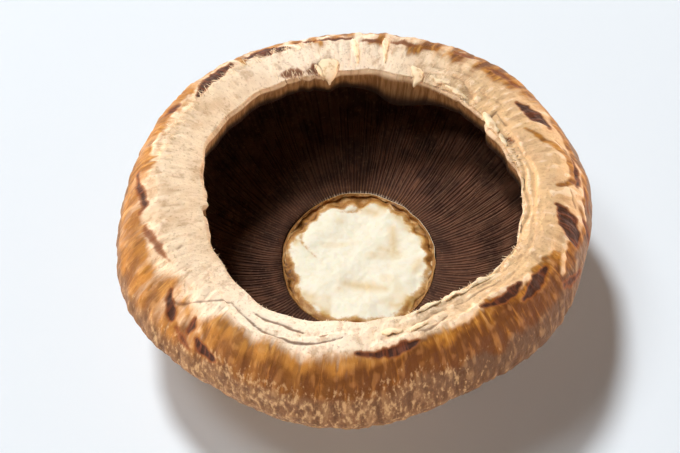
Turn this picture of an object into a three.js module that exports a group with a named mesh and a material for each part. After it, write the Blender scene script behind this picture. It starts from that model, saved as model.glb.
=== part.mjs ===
// A portobello cap with its stem snapped off, lying gill side up on its crown.
// Millimetres, +Z up. The surface it rests on is z = 0 and the box round it is centred on x and y.
//
// Every surface is built from meridians: theta runs round the cap, anticlockwise from +X, and a
// meridian is a short list of [radius, height] stations that is followed from the crown outwards.

import * as THREE from "three";

// ---- Cap: driving dimensions ----------------------------------------------------------------

const CAP_RADIUS = 52.1; // mean radius at the widest line
const CAP_WIDEST_Z = 23.3; // height of the widest line
const DOME_POWER = 1.48; // 2 would be an ellipse; less gives a blunter crown and straighter flanks
const REST_SPOT_RADIUS = 9; // the crown's flat that it rests on
const CAP_LOBES = [[2, 1.2, 48], [3, 0.3, 10], [5, 0.5, -20], [6, 0.3, 17], [7, 0.3, 9]];
const FLANK_LOBES = [[0, -0.5, 0], [1, 0.2, 150], [2, 0.25, 30], [3, 0.2, -8]]; // below that line

const LIP_RADIUS = 34.6; // mean radius of the opening inside the inrolled margin
const LIP_Z = 35.3; // mean height of the opening's edge
const LIP_THICKNESS = 5.4; // height of the margin's torn inner face
const LIP_UNDERCUT = 0.7; // how far that face leans back under the lip
const LIP_LOBES = [[1, 1.5, -53], [2, 0.4, 90], [3, 0.4, 0], [4, 0.9, -28], [9, 0.3, 4], [23, 0.25, 5]];
const LIP_WAVES = [[1, 0.25, 180], [2, 0.65, -45], [5, 0.25, 30]];
const LIP_NOTCH = { at: 193, width: 2.2, depth: 1.8 }; // a split in the lip
const LIP_TONGUE = { at: 100, width: 3.0, depth: -1.6 }; // a tongue of veil that leans in
const LIP_TEAR = { at: 72, width: 12, depth: 2.4 }; // where the veil tore deeper down the face

const CREST_RISE = 1.5; // the margin's crest above the lip
const CREST_AT = 0.4; // where the crest lies, from the lip out to the widest line
const CREST_SHARE = 0.28; // the same place measured along the skin
const SKIN_TO_WIDEST = 26.5; // length of skin from the lip to the widest line
const SKIN_TO_CROWN = 55; // length of skin from the widest line to the crown

// ---- Cap: relief on the skin ------------------------------------------------------------------

// Edges of torn layers: the skin outside each one stands a little proud of the skin inside it.
const LAYER_EDGES = [
  { at: 243, width: 24, fromLip: 6.2, wander: 2.2, rise: 0.9 },
  { at: 5, width: 26, fromLip: 3.0, wander: 0.8, rise: 0.6 },
  { at: 300, width: 20, fromLip: 6.6, wander: 1.0, rise: 0.6 },
];
const WRINKLE_COUNT = 36; // radial wrinkles in the skin of the flank
const WRINKLE_HEIGHT = 0.35;
const SCALE_COUNT = 60; // flat scales, lifted a little at their outer tips
const SCALE_HEIGHT = 0.5;
const SCALE_SIZE = [5.5, 8]; // a scale's width and its length along the meridian

// ---- Gills ------------------------------------------------------------------------------------

const GILL_COUNT = 120; // every second one is short and starts part of the way out
const GILL_THICKNESS = 0.7;
const GILL_WALL_INSET = 7; // from the widest line in to the gills' outer ends
const GILL_BED_Z = [8, 27.3]; // the bed the gills stand on: at the collar, at the margin
const GILL_BED_POWER = 2.2;
const GILL_EDGE_Z = [10.6, 29]; // the gills' free edges: at the collar, at the margin
const GILL_EDGE_POWER = 1.8;
const GILL_STATIONS = [0, 0.08, 0.28, 0.45, 0.62, 0.78, 0.9, 1];
const GILL_RAMP = 0.16; // share of the way over which a gill rises from its bed
const SHORT_GILL_START = 0.2; // share of the way out at which the short gills start
const GILL_BED_THICKNESS = 0.9;

// ---- Stem stub ----------------------------------------------------------------------------------

const COLLAR_RADIUS = 18.3; // mean radius of the thin collar round the stem's scar
const COLLAR_LOBES = [[1, 1.35, -48], [2, 0.95, 90], [5, 0.2, 15]];
const COLLAR_TEETH = 30; // torn points round the collar, one for each second long gill
const COLLAR_TOOTH = 0.3;
const STUB_FLOOR_Z = 7;
const SCAR_Z = 10.4;
const SCAR_LUMPS = 0.6; // height of the lumps on the broken face
const MOAT_DEPTH = 1.4; // the groove between the scar and its collar
const MOAT_SHARE = [0.86, 0.965]; // its inner and outer edges, as shares of the collar's radius

const GAP = 0.3; // clearance between neighbouring solids
const CAP_MERIDIANS = 108;
const STUB_MERIDIANS = 60;
const TAU = 2 * Math.PI;

// ---- Helpers --------------------------------------------------------------------------------------

const radians = (degrees) => (degrees * Math.PI) / 180;
const mix = (a, b, t) => a + (b - a) * t;
const bell = (x) => Math.exp(-x * x);

function smooth(t) {
  const s = Math.min(1, Math.max(0, t));
  return s * s * (3 - 2 * s);
}

// Degrees from a place round the cap to theta, the short way.
function degreesFrom(place, theta) {
  const away = theta - radians(place);
  return (Math.atan2(Math.sin(away), Math.cos(away)) * 180) / Math.PI;
}

// A list of lobes, each [how many round the cap, height, place of the first in degrees]. A count of
// nought is the same all the way round.
function lobes(list, theta) {
  return list.reduce((sum, [count, height, at]) => sum + height * Math.cos(count * (theta - radians(at))), 0);
}

// One local bump in an outline.
const bump = ({ at, width, depth }, theta) => depth * bell(degreesFrom(at, theta) / width);

function polar(theta, radius, z) {
  return new THREE.Vector3(radius * Math.cos(theta), radius * Math.sin(theta), z);
}

function geometryOf(points, faces) {
  const geometry = new THREE.BufferGeometry().setFromPoints(points);
  geometry.setIndex(faces.flat());
  geometry.computeVertexNormals();
  return geometry;
}

// A closed skin over meridians that all start at one pole and end at another.
function revolved(columns, stationsAt, firstPoleZ, lastPoleZ) {
  const meridians = Array.from({ length: columns }, (_, column) => {
    const theta = (column / columns) * TAU;
    return stationsAt(theta).map(([radius, z]) => polar(theta, radius, z));
  });
  const rows = meridians[0].length;
  const firstPole = columns * rows;
  const lastPole = firstPole + 1;
  const at = (column, row) => (column % columns) * rows + row;
  const faces = [];
  for (let column = 0; column < columns; column++) {
    faces.push([firstPole, at(column + 1, 0), at(column, 0)]);
    for (let row = 0; row + 1 < rows; row++) {
      faces.push([at(column, row), at(column + 1, row), at(column + 1, row + 1)]);
      faces.push([at(column, row), at(column + 1, row + 1), at(column, row + 1)]);
    }
    faces.push([at(column, rows - 1), at(column + 1, rows - 1), lastPole]);
  }
  const poles = [new THREE.Vector3(0, 0, firstPoleZ), new THREE.Vector3(0, 0, lastPoleZ)];
  return geometryOf([...meridians.flat(), ...poles], faces);
}

// ---- Surfaces that the pieces share -----------------------------------------------------------

const capRadius = (theta) => CAP_RADIUS + lobes(CAP_LOBES, theta);
const openingRadius = (theta) => LIP_RADIUS + lobes(LIP_LOBES, theta);
const lipZ = (theta) => LIP_Z + lobes(LIP_WAVES, theta);
const collarRadius = (theta) => COLLAR_RADIUS + lobes(COLLAR_LOBES, theta);

// The gills' bed and edges, at a share t of the way from the collar to the margin's inner wall.
const gillInnerRadius = (theta) => collarRadius(theta) + COLLAR_TOOTH + GAP;
const gillOuterRadius = (theta) => capRadius(theta) - GILL_WALL_INSET;
const gillRadius = (theta, t) => mix(gillInnerRadius(theta), gillOuterRadius(theta), t);
const gillBedZ = (t) => mix(...GILL_BED_Z, t ** GILL_BED_POWER);
const gillEdgeZ = (t) => mix(...GILL_EDGE_Z, t ** GILL_EDGE_POWER);

// The station that lies a distance below the gills' bed, square to its slope.
function belowBed(theta, t, distance) {
  const run = gillOuterRadius(theta) - gillInnerRadius(theta);
  const rise = (GILL_BED_Z[1] - GILL_BED_Z[0]) * GILL_BED_POWER * t ** (GILL_BED_POWER - 1);
  const slope = Math.hypot(run, rise);
  return [gillRadius(theta, t) + (distance * rise) / slope, gillBedZ(t) - (distance * run) / slope];
}

// ---- Cap: the domed flesh and its skin, turned in over the gills --------------------------------

// Height of the crown's skin at a share of the cap's radius, as a share of the widest line's height.
function domeShare(share) {
  const drop = (s) => 1 - (1 - s * s) ** (1 / DOME_POWER);
  const flat = drop(REST_SPOT_RADIUS / CAP_RADIUS);
  return Math.max(0, (drop(share) - flat) / (1 - flat));
}

// The skin from the crown (turn 0) out to the widest line (turn 1).
function crownStation(theta, turn) {
  const angle = (turn * Math.PI) / 2;
  const radius = capRadius(theta) * Math.sin(angle) + lobes(FLANK_LOBES, theta) * Math.sin(2 * angle);
  return [radius, CAP_WIDEST_Z * domeShare(Math.sin(angle))];
}

// The skin from the lip (share 0) over the crest and down to the widest line (share 1).
function marginStation(theta, share) {
  const lip = openingRadius(theta);
  const crest = mix(lip, capRadius(theta), CREST_AT);
  const crestZ = lipZ(theta) + CREST_RISE;
  if (share < CREST_SHARE) {
    const t = share / CREST_SHARE;
    return [mix(lip, crest, t), mix(crestZ, lipZ(theta), (1 - t) ** 1.6)];
  }
  const turn = ((1 - share) / (1 - CREST_SHARE)) * (Math.PI / 2);
  return [mix(crest, capRadius(theta), Math.cos(turn)), mix(CAP_WIDEST_Z, crestZ, Math.sin(turn))];
}

// A layer's edge: a low step in the skin that fades out along the edge and away from it.
function layerStep({ at, width, fromLip, wander, rise }, theta, distance) {
  const along = degreesFrom(at, theta) / width;
  const edge = fromLip + wander * Math.cos(3 * along);
  const outside = distance - edge;
  return rise * bell(along ** 2) * smooth(outside / 1.5 + 0.5) * smooth(1.4 - outside / 9);
}

// The scales lie in a spiral that spreads them evenly over the flank.
const SCALES = Array.from({ length: SCALE_COUNT }, (_, i) => ({
  at: (i * 137.5) % 360,
  distance: mix(9, 50, ((i * 0.618) % 1) ** 1.2),
  height: SCALE_HEIGHT * (0.6 + 0.4 * Math.sin(i * 2.3)),
}));

// A scale lifts slowly towards its outer tip and then drops.
function scaleRelief({ at, distance, height }, theta, here) {
  const across = (radians(degreesFrom(at, theta)) * CAP_RADIUS) / (SCALE_SIZE[0] / 2);
  const along = (distance - here) / SCALE_SIZE[1] + 0.5;
  return along < 0 || along > 1.25 ? 0 : height * bell(across) * smooth(along) * smooth((1.25 - along) * 4);
}

// How far the skin stands out at a distance along it from the lip.
function skinRelief(theta, distance) {
  const layers = LAYER_EDGES.reduce((sum, edge) => sum + layerStep(edge, theta, distance), 0);
  const scales = SCALES.reduce((sum, scale) => sum + scaleRelief(scale, theta, distance), 0);
  const broken = Math.sin(3 * theta + 0.35 * distance) * Math.sin(0.5 * distance + 5 * theta);
  const wrinkle = Math.cos(WRINKLE_COUNT * theta + 1.2 * Math.sin(4 * theta)) * (0.6 + 0.4 * broken);
  const lump = 0.3 * Math.sin(4 * theta + 0.22 * distance) + 0.2 * Math.cos(7 * theta - 0.3 * distance);
  const onFlank = smooth((distance - 6) / 8);
  return layers + scales + onFlank * (WRINKLE_HEIGHT * wrinkle + lump);
}

// Stations moved outwards by the skin's relief, square to the meridian. Those on the rest spot stay.
function raised(theta, base) {
  return base.map(({ station: [radius, z], distance }, i) => {
    const [innerRadius, innerZ] = base[Math.max(0, i - 1)].station;
    const [outerRadius, outerZ] = base[Math.min(base.length - 1, i + 1)].station;
    const length = Math.hypot(outerRadius - innerRadius, outerZ - innerZ);
    const relief = (skinRelief(theta, distance) * smooth(z / 5)) / length;
    return [radius + relief * (outerZ - innerZ), z - relief * (outerRadius - innerRadius)];
  });
}

// No station lies on the widest line itself, so the flank turns there without a crease.
function skinStations(theta) {
  const base = [];
  for (const turn of [0.21, 0.3, 0.39, 0.48, 0.57, 0.66, 0.75, 0.84, 0.93]) {
    const distance = SKIN_TO_WIDEST + (1 - turn) * SKIN_TO_CROWN;
    base.push({ station: crownStation(theta, turn), distance });
  }
  for (const share of [0.95, 0.84, 0.73, 0.61, 0.5, 0.41, 0.34, 0.28, 0.22, 0.16, 0.1, 0.05]) {
    base.push({ station: marginStation(theta, share), distance: share * SKIN_TO_WIDEST });
  }
  return raised(theta, base);
}

function capStations(theta) {
  const lip = openingRadius(theta) + bump(LIP_NOTCH, theta) + bump(LIP_TONGUE, theta);
  const edgeZ = lipZ(theta);
  const tear = bump(LIP_TEAR, theta);
  const footZ = edgeZ - LIP_THICKNESS - tear;
  const foot = lip + LIP_UNDERCUT - tear;
  const roofZ = GILL_EDGE_Z[1] + 3 * GAP;
  const flesh = GILL_BED_THICKNESS + GAP;

  return [
    [REST_SPOT_RADIUS * 0.95, 0],
    ...skinStations(theta),
    [lip + 0.4, edgeZ],
    [lip, edgeZ - 0.8],
    [mix(lip, foot, 0.5), mix(edgeZ, footZ, 0.6)],
    [foot, footZ],
    [mix(foot, gillOuterRadius(theta), 0.5), roofZ],
    [belowBed(theta, 1, flesh)[0], roofZ],
    ...[1, 0.88, 0.72, 0.5, 0.25].map((t) => belowBed(theta, t, flesh)),
    [collarRadius(theta), STUB_FLOOR_Z - GAP],
  ];
}

// ---- Gills: thin blades standing on one thin bed ------------------------------------------------

// Height of a blade above its bed, as a share of its full height.
function bladeShare(isShort, t) {
  const start = isShort ? SHORT_GILL_START : -GILL_RAMP / 2;
  return smooth((t - start) / GILL_RAMP);
}

// How far a blade wanders off its straight line, in gills.
const bladeWander = (i, t) => 0.12 * Math.sin(2.4 * i) + 0.1 * Math.sin(5 * t + 1.7 * i);

function gillsGeometry() {
  const points = [];
  const faces = [];
  const add = (theta, radius, z) => points.push(polar(theta, radius, z)) - 1;
  const quad = (a, b, c, d) => faces.push([a, b, c], [a, c, d]);

  // The top has four corners a blade at each station: bed, edge, edge, bed.
  const blades = Array.from({ length: GILL_COUNT }, (_, i) =>
    GILL_STATIONS.map((t) => {
      const theta = ((i + bladeWander(i, t)) / GILL_COUNT) * TAU;
      const radius = gillRadius(theta, t);
      const half = GILL_THICKNESS / 2 / radius;
      const bedZ = gillBedZ(t);
      const edgeZ = Math.max(bedZ + 0.02, mix(bedZ, gillEdgeZ(t), bladeShare(i % 2 === 1, t)));
      return [
        add(theta - half, radius, bedZ),
        add(theta - half, radius, edgeZ),
        add(theta + half, radius, edgeZ),
        add(theta + half, radius, bedZ),
      ];
    }),
  );
  // The underside has one corner a blade, at every second station and at the last.
  const underStations = GILL_STATIONS.filter((t, row) => row % 2 === 0 || t === 1);
  const under = Array.from({ length: GILL_COUNT }, (_, i) => {
    const theta = (i / GILL_COUNT) * TAU;
    return underStations.map((t) => add(theta, ...belowBed(theta, t, GILL_BED_THICKNESS)));
  });

  for (let i = 0; i < GILL_COUNT; i++) {
    const next = (i + 1) % GILL_COUNT;
    const across = blades[i].map((corners, row) => [...corners, blades[next][row][0]]);
    for (let row = 0; row + 1 < across.length; row++) {
      for (let k = 0; k < 4; k++) {
        quad(across[row][k], across[row + 1][k], across[row + 1][k + 1], across[row][k + 1]);
      }
    }
    for (let row = 0; row + 1 < underStations.length; row++) {
      quad(under[i][row], under[next][row], under[next][row + 1], under[i][row + 1]);
    }
    // The inner and outer ends: a fan of the blade's corners on the bed's underside.
    const inner = across[0];
    const outer = across.at(-1);
    for (let k = 0; k < 4; k++) {
      faces.push([under[i][0], inner[k], inner[k + 1]]);
      faces.push([under[i].at(-1), outer[k + 1], outer[k]]);
    }
    faces.push([under[i][0], inner[4], under[next][0]]);
    faces.push([under[i].at(-1), under[next].at(-1), outer[4]]);
  }
  return geometryOf(points, faces);
}

// ---- Stem stub: the torn scar, a groove round it, and the collar's toothed edge ------------------

function scarZ(x, y) {
  const coarse = Math.sin(0.42 * x + 0.9) * Math.cos(0.37 * y - 0.4);
  const fine = Math.sin(0.95 * x - 0.55 * y) + Math.cos(0.8 * x + 1.1 * y + 1.3);
  return SCAR_Z + SCAR_LUMPS * (coarse + 0.35 * fine);
}

function stubStations(theta) {
  const collar = collarRadius(theta);
  const tip = collar + COLLAR_TOOTH * Math.cos(COLLAR_TEETH * theta);
  const [inside, outside] = MOAT_SHARE;
  const ragged = inside + 0.018 * Math.sin(7 * theta) + 0.014 * Math.cos(13 * theta + 1);
  const scar = [ragged, 0.72, 0.55, 0.38, 0.2].map((share) => {
    const radius = share * collar;
    return [radius, scarZ(radius * Math.cos(theta), radius * Math.sin(theta))];
  });
  return [
    [collar - 0.8, STUB_FLOOR_Z],
    [collar - 0.2, STUB_FLOOR_Z + 0.5],
    [tip, SCAR_Z - 0.2],
    [tip - 0.5, SCAR_Z + 0.3],
    [mix(ragged, outside, 0.8) * collar, SCAR_Z - MOAT_DEPTH],
    [mix(ragged, outside, 0.3) * collar, SCAR_Z - MOAT_DEPTH],
    ...scar,
  ];
}

// ---- Assembly -----------------------------------------------------------------------------------

const skin = new THREE.MeshStandardMaterial({ color: 0xd9b184, roughness: 0.62, metalness: 0 });
const gillTissue = new THREE.MeshStandardMaterial({ color: 0x3a241b, roughness: 0.85, metalness: 0 });
const flesh = new THREE.MeshStandardMaterial({ color: 0xf6efdc, roughness: 0.75, metalness: 0 });

function named(name, geometry, material) {
  const mesh = new THREE.Mesh(geometry, material);
  mesh.name = name;
  return mesh;
}

const mushroom = new THREE.Group();
mushroom.add(named("cap", revolved(CAP_MERIDIANS, capStations, 0, STUB_FLOOR_Z - GAP), skin));
mushroom.add(named("gills", gillsGeometry(), gillTissue));
mushroom.add(named("stem_stub", revolved(STUB_MERIDIANS, stubStations, STUB_FLOOR_Z, scarZ(0, 0)), flesh));

// The pieces are drawn round the crown; the whole is moved so that its box is centred.
const middle = new THREE.Box3().setFromObject(mushroom).getCenter(new THREE.Vector3());
for (const mesh of mushroom.children) mesh.geometry.translate(-middle.x, -middle.y, 0);

export default mushroom;
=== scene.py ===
# %% [markdown]
# # A portobello cap, lying gill side up
#
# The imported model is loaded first, as a fixed frame. It gives the size and the place of each solid:
# the cap, the gills and the stub of the stem. Every piece below stands for one of them or sits on one,
# in the same frame, so it needs no fitting.

import math

import bpy
import numpy as np
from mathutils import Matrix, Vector


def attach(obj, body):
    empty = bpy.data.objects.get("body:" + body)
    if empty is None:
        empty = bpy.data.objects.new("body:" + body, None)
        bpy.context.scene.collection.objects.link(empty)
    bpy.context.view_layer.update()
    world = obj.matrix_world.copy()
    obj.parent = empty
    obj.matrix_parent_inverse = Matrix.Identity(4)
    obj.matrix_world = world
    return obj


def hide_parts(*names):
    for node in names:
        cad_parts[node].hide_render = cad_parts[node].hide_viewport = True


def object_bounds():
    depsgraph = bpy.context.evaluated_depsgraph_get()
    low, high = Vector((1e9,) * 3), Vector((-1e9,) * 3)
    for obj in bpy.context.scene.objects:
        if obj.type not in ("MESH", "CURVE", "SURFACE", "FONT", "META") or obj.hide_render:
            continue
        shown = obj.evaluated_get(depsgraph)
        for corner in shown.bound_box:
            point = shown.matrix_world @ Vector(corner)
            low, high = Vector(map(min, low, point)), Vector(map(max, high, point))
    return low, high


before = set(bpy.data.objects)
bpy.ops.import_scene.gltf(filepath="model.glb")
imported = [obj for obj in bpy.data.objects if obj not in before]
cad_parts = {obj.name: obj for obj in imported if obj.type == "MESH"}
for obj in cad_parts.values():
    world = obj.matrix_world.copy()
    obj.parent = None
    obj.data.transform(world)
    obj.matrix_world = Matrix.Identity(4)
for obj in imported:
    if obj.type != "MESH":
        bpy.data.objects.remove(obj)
cad_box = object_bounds()
print("the frame's box in mm:", [[round(1000 * v, 1) for v in corner] for corner in cad_box])

# %% [markdown]
# ## Small tools
#
# A mushroom's surface is easiest to think of in millimetres and meridians: theta runs round the cap, and
# a meridian is a line from the crown, over the margin and in to the stem. These tools turn such lines
# into meshes, add a node with its settings and links, and turn hex colours into Blender's linear ones.

# %% Units, colours and nodes
MM = 0.001
TAU = 2 * math.pi


def srgb(code):
    """A hex colour such as #F0DCBC as linear red, green, blue and alpha."""
    parts = [int(code[i : i + 2], 16) / 255 for i in (1, 3, 5)]
    return (*[p / 12.92 if p <= 0.04045 else ((p + 0.055) / 1.055) ** 2.4 for p in parts], 1.0)


def add_node(tree, kind, links=None, **settings):
    """A new node. Each named input is linked to a socket or a node, or set to a value."""
    node = tree.nodes.new(kind)
    for name, value in settings.items():
        setattr(node, name, value)
    for key, value in (links or {}).items():
        if isinstance(value, bpy.types.Node):
            value = next(output for output in value.outputs if output.enabled)
        if isinstance(value, bpy.types.NodeSocket):
            tree.links.new(value, node.inputs[key])
        else:
            node.inputs[key].default_value = value
    return node


# %% Curves and places
def smooth(t):
    """0 below 0, 1 above 1 and a soft step between."""
    t = np.clip(t, 0, 1)
    return t * t * (3 - 2 * t)


def mix(a, b, t):
    return a + (b - a) * t


def lobes(table, theta):
    """The sum of lobes, each (how many round the cap, height, place of the first in degrees)."""
    return sum(height * np.cos(count * (theta - math.radians(at))) for count, height, at in table)


def degrees_from(place, theta):
    """Degrees from a place round the cap to theta, the short way."""
    return (np.degrees(theta) - place + 180) % 360 - 180


def zone(place, width, theta, power=4):
    """1 at a place round the cap and 0 away from it. A higher power gives a flatter top."""
    return np.exp(-((degrees_from(place, theta) / width) ** power))


def bumps(table, theta):
    """The sum of soft bumps, each (place in degrees, half width in degrees, height)."""
    return sum(height * zone(at, width, theta, 2) for at, width, height in table)


# %% [markdown]
# A torn or wrinkled surface is never even. This noise is a grid of random heights with a soft surface
# through them, and it closes on itself round the cap. Its cells have a real width and length in
# millimetres, so one call gives long fibres and another gives round pits.


# %% Noise that closes round the cap
SKIN_RADIUS = 44.0  # the middle of the margin's skin, so that degrees can be told in millimetres


def cap_noise(theta, along, width, length, seed, radius=SKIN_RADIUS):
    """0 to 1, in cells of a width round the cap and a length along the meridian, in millimetres."""
    columns = max(3, round(TAU * radius / width))
    heights = np.random.default_rng(seed).random((int(140 / length) + 4, columns))
    x = (theta / TAU * columns) % columns
    y = (along + 20) / length
    x, y = np.broadcast_arrays(x, y)
    column, row = np.floor(x).astype(int), np.floor(y).astype(int)
    right, up = smooth(x - column), smooth(y - row)
    near, far = column % columns, (column + 1) % columns
    low = mix(heights[row, near], heights[row, far], right)
    high = mix(heights[row + 1, near], heights[row + 1, far], right)
    return mix(low, high, up)


# %% Meshes from rows of points
def add_piece(name, mesh):
    piece = bpy.data.objects.new(name, mesh)
    bpy.context.scene.collection.objects.link(piece)
    return piece


def store(mesh, name, values):
    """Stores a number or a vector for each point of a mesh, for a material or a tree to read."""
    values = np.asarray(values, np.float32)
    kind, slot = ("FLOAT", "value") if values.ndim == 1 else ("FLOAT_VECTOR", "vector")
    mesh.attributes.new(name, kind, "POINT").data.foreach_set(slot, values.ravel())


def closed_mesh(name, points, attributes):
    """points is (meridians, stations, 3) in millimetres. The first and last stations close to poles."""
    around, rows, _ = points.shape
    poles = [points[:, 0].mean(0), points[:, -1].mean(0)]
    corners = np.concatenate([points.reshape(-1, 3), poles]) * MM
    here = np.arange(around)[:, None] * rows + np.arange(rows - 1)
    there = np.roll(np.arange(around), -1)[:, None] * rows + np.arange(rows - 1)
    quads = np.stack([here, there, there + 1, here + 1], -1).reshape(-1, 4)
    first, last = around * rows, around * rows + 1
    start = [(first, int(b), int(a)) for a, b in zip(here[:, 0], there[:, 0])]
    end = [(int(a) + 1, int(b) + 1, last) for a, b in zip(here[:, -1], there[:, -1])]
    mesh = bpy.data.meshes.new(name)
    mesh.from_pydata(corners.tolist(), [], quads.tolist() + start + end)
    for key, values in attributes.items():
        values = np.broadcast_to(values, points.shape[:2] + values.shape[2:])
        values = values.reshape(around * rows, *values.shape[2:])
        store(mesh, key, np.concatenate([values, values[[0, -1]]]))
    mesh.shade_smooth()
    return add_piece(name, mesh)


# %% [markdown]
# ## The cap's form
#
# The cap is one body of flesh with a skin. From below it is a dome that stands on its crown; at the top
# the margin turns in over the gills and ends in a torn lip, where the veil broke away from the stem.
# Its outline is a circle with a few lobes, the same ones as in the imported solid.

# %% Sizes of the cap, in millimetres
AXIS = np.array([-0.27, 1.10, 0.0])  # the crown's place in the frame, whose box is centred instead

CAP_RADIUS = 52.1
CAP_WIDEST_Z = 23.3
DOME_POWER = 1.48  # 2 would be an ellipse; less gives a more pointed crown and straighter flanks
REST_SPOT_RADIUS = 9.0  # the crown is pressed flat where it bears the weight
CAP_LOBES = [(2, 1.2, 48), (3, 0.3, 10), (5, 0.5, -20), (6, 0.3, 17), (7, 0.3, 9)]
FLANK_LOBES = [(0, -0.5, 0), (1, 0.2, 150), (2, 0.25, 30), (3, 0.2, -8)]

LIP_RADIUS = 34.6
LIP_Z = 35.3
LIP_THICKNESS = 5.4
LIP_UNDERCUT = 0.7
LIP_LOBES = [(1, 1.5, -53), (2, 0.4, 90), (3, 0.4, 0), (4, 0.9, -28), (9, 0.3, 4), (23, 0.2, 5)]
LIP_WAVES = [(1, 0.25, 180), (2, 0.65, -45), (5, 0.25, 30)]

CREST_RISE = 1.5  # how far the margin's crest stands over the lip
CREST_AT = 0.4  # the crest's place between the lip and the widest line
CREST_SHARE = 0.28  # how much of the skin from the lip to the widest line lies inside the crest
SKIN_TO_WIDEST = 26.5  # the skin's length from the lip to the widest line
SKIN_TO_CROWN = 55.0  # and from there to the crown

COLLAR_RADIUS = 18.3
COLLAR_LOBES = [(1, 1.35, -48), (2, 0.95, 90), (5, 0.2, 15)]
GILL_WALL_INSET = 7.0  # how far inside the widest line the gills end
GILL_BED_Z = (8.0, 27.3)  # heights at the collar and at the margin's wall, as for the blades' edges
GILL_BED_POWER = 2.2
GILL_EDGE_Z = (10.6, 29.0)
GILL_EDGE_POWER = 1.8


# %% Lines that the pieces share
def cap_radius(theta):
    return CAP_RADIUS + lobes(CAP_LOBES, theta)


def opening_radius(theta):
    return LIP_RADIUS + lobes(LIP_LOBES, theta)


def lip_height(theta):
    return LIP_Z + lobes(LIP_WAVES, theta)


def collar_radius(theta):
    return COLLAR_RADIUS + lobes(COLLAR_LOBES, theta)


def below_bed(theta, t, distance):
    """The point below the gills' bed, at a share t of the way from the collar to the margin's wall."""
    inner, outer = collar_radius(theta) + 0.6, cap_radius(theta) - GILL_WALL_INSET
    run = outer - inner
    rise = (GILL_BED_Z[1] - GILL_BED_Z[0]) * GILL_BED_POWER * t ** (GILL_BED_POWER - 1)
    slope = np.hypot(run, rise)
    height = mix(*GILL_BED_Z, t**GILL_BED_POWER)
    return mix(inner, outer, t) + distance * rise / slope, height - distance * run / slope


def crown_line(theta, turn):
    """Radius and height of the skin from the crown (turn 0) out to the widest line (turn 1)."""

    def drop(share):
        return 1 - np.maximum(1 - share**2, 0) ** (1 / DOME_POWER)

    angle = turn * math.pi / 2
    flat = drop(REST_SPOT_RADIUS / CAP_RADIUS)
    height = np.maximum(0, (drop(np.sin(angle)) - flat) / (1 - flat))
    radius = cap_radius(theta) * np.sin(angle) + lobes(FLANK_LOBES, theta) * np.sin(2 * angle)
    return radius, CAP_WIDEST_Z * height + 0 * theta


def margin_line(theta, share):
    """Radius and height of the skin from the lip (share 0) over the crest to the widest line (1)."""
    lip, outer = opening_radius(theta), cap_radius(theta)
    crest, crest_z = mix(lip, outer, CREST_AT), lip_height(theta) + CREST_RISE
    inward = np.clip(share / CREST_SHARE, 0, 1)
    turn = np.clip((1 - share) / (1 - CREST_SHARE), 0, 1) * math.pi / 2
    inside = share < CREST_SHARE
    radius = np.where(inside, mix(lip, crest, inward), mix(crest, outer, np.cos(turn)))
    falling = mix(crest_z, lip_height(theta), (1 - inward) ** 1.6)
    return radius, np.where(inside, falling, mix(CAP_WIDEST_Z, crest_z, np.sin(turn)))


# %% [markdown]
# ## Marks on the skin
#
# Scales, bruises, folds and cracks each have a place on a real cap. A mark here is a path over the skin:
# each point is (degrees round the cap, millimetres of skin outwards from the lip, half width in
# millimetres). One function tells how much of a mark lies at each point of the surface.


# %% A mark's strength over the skin
MARK_RADIUS = 45.0  # marks lie 35 to 52 mm from the axis, so this is about the middle


def mark(theta, distance, path, ragged, soft, seed):
    """0 to 1: how much of the path's stroke covers each point, with an edge torn by noise."""
    place = path[0][0]
    x = np.radians(degrees_from(place, theta)) * MARK_RADIUS
    torn = (cap_noise(theta, distance, 0.9, 2.4, seed) - 0.5) * 2 * ragged
    best = np.zeros(np.broadcast_shapes(theta.shape, distance.shape))
    for (at_a, d_a, w_a), (at_b, d_b, w_b) in zip(path, path[1:]):
        x_a = math.radians((at_a - place + 180) % 360 - 180) * MARK_RADIUS
        x_b = math.radians((at_b - place + 180) % 360 - 180) * MARK_RADIUS
        run, rise = x_b - x_a, d_b - d_a
        t = np.clip(((x - x_a) * run + (distance - d_a) * rise) / (run**2 + rise**2 + 1e-9), 0, 1)
        away = np.hypot(x - x_a - t * run, distance - d_a - t * rise) + torn
        best = np.maximum(best, smooth((mix(w_a, w_b, t) - away) / soft + 0.5))
    return best


def marks(theta, distance, paths, ragged, soft, seed):
    """The strongest of several marks, each (strength, path)."""
    strokes = [
        strength * mark(theta, distance, path, ragged, soft, seed + i)
        for i, (strength, path) in enumerate(paths)
    ]
    return np.max(strokes, 0)


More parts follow.
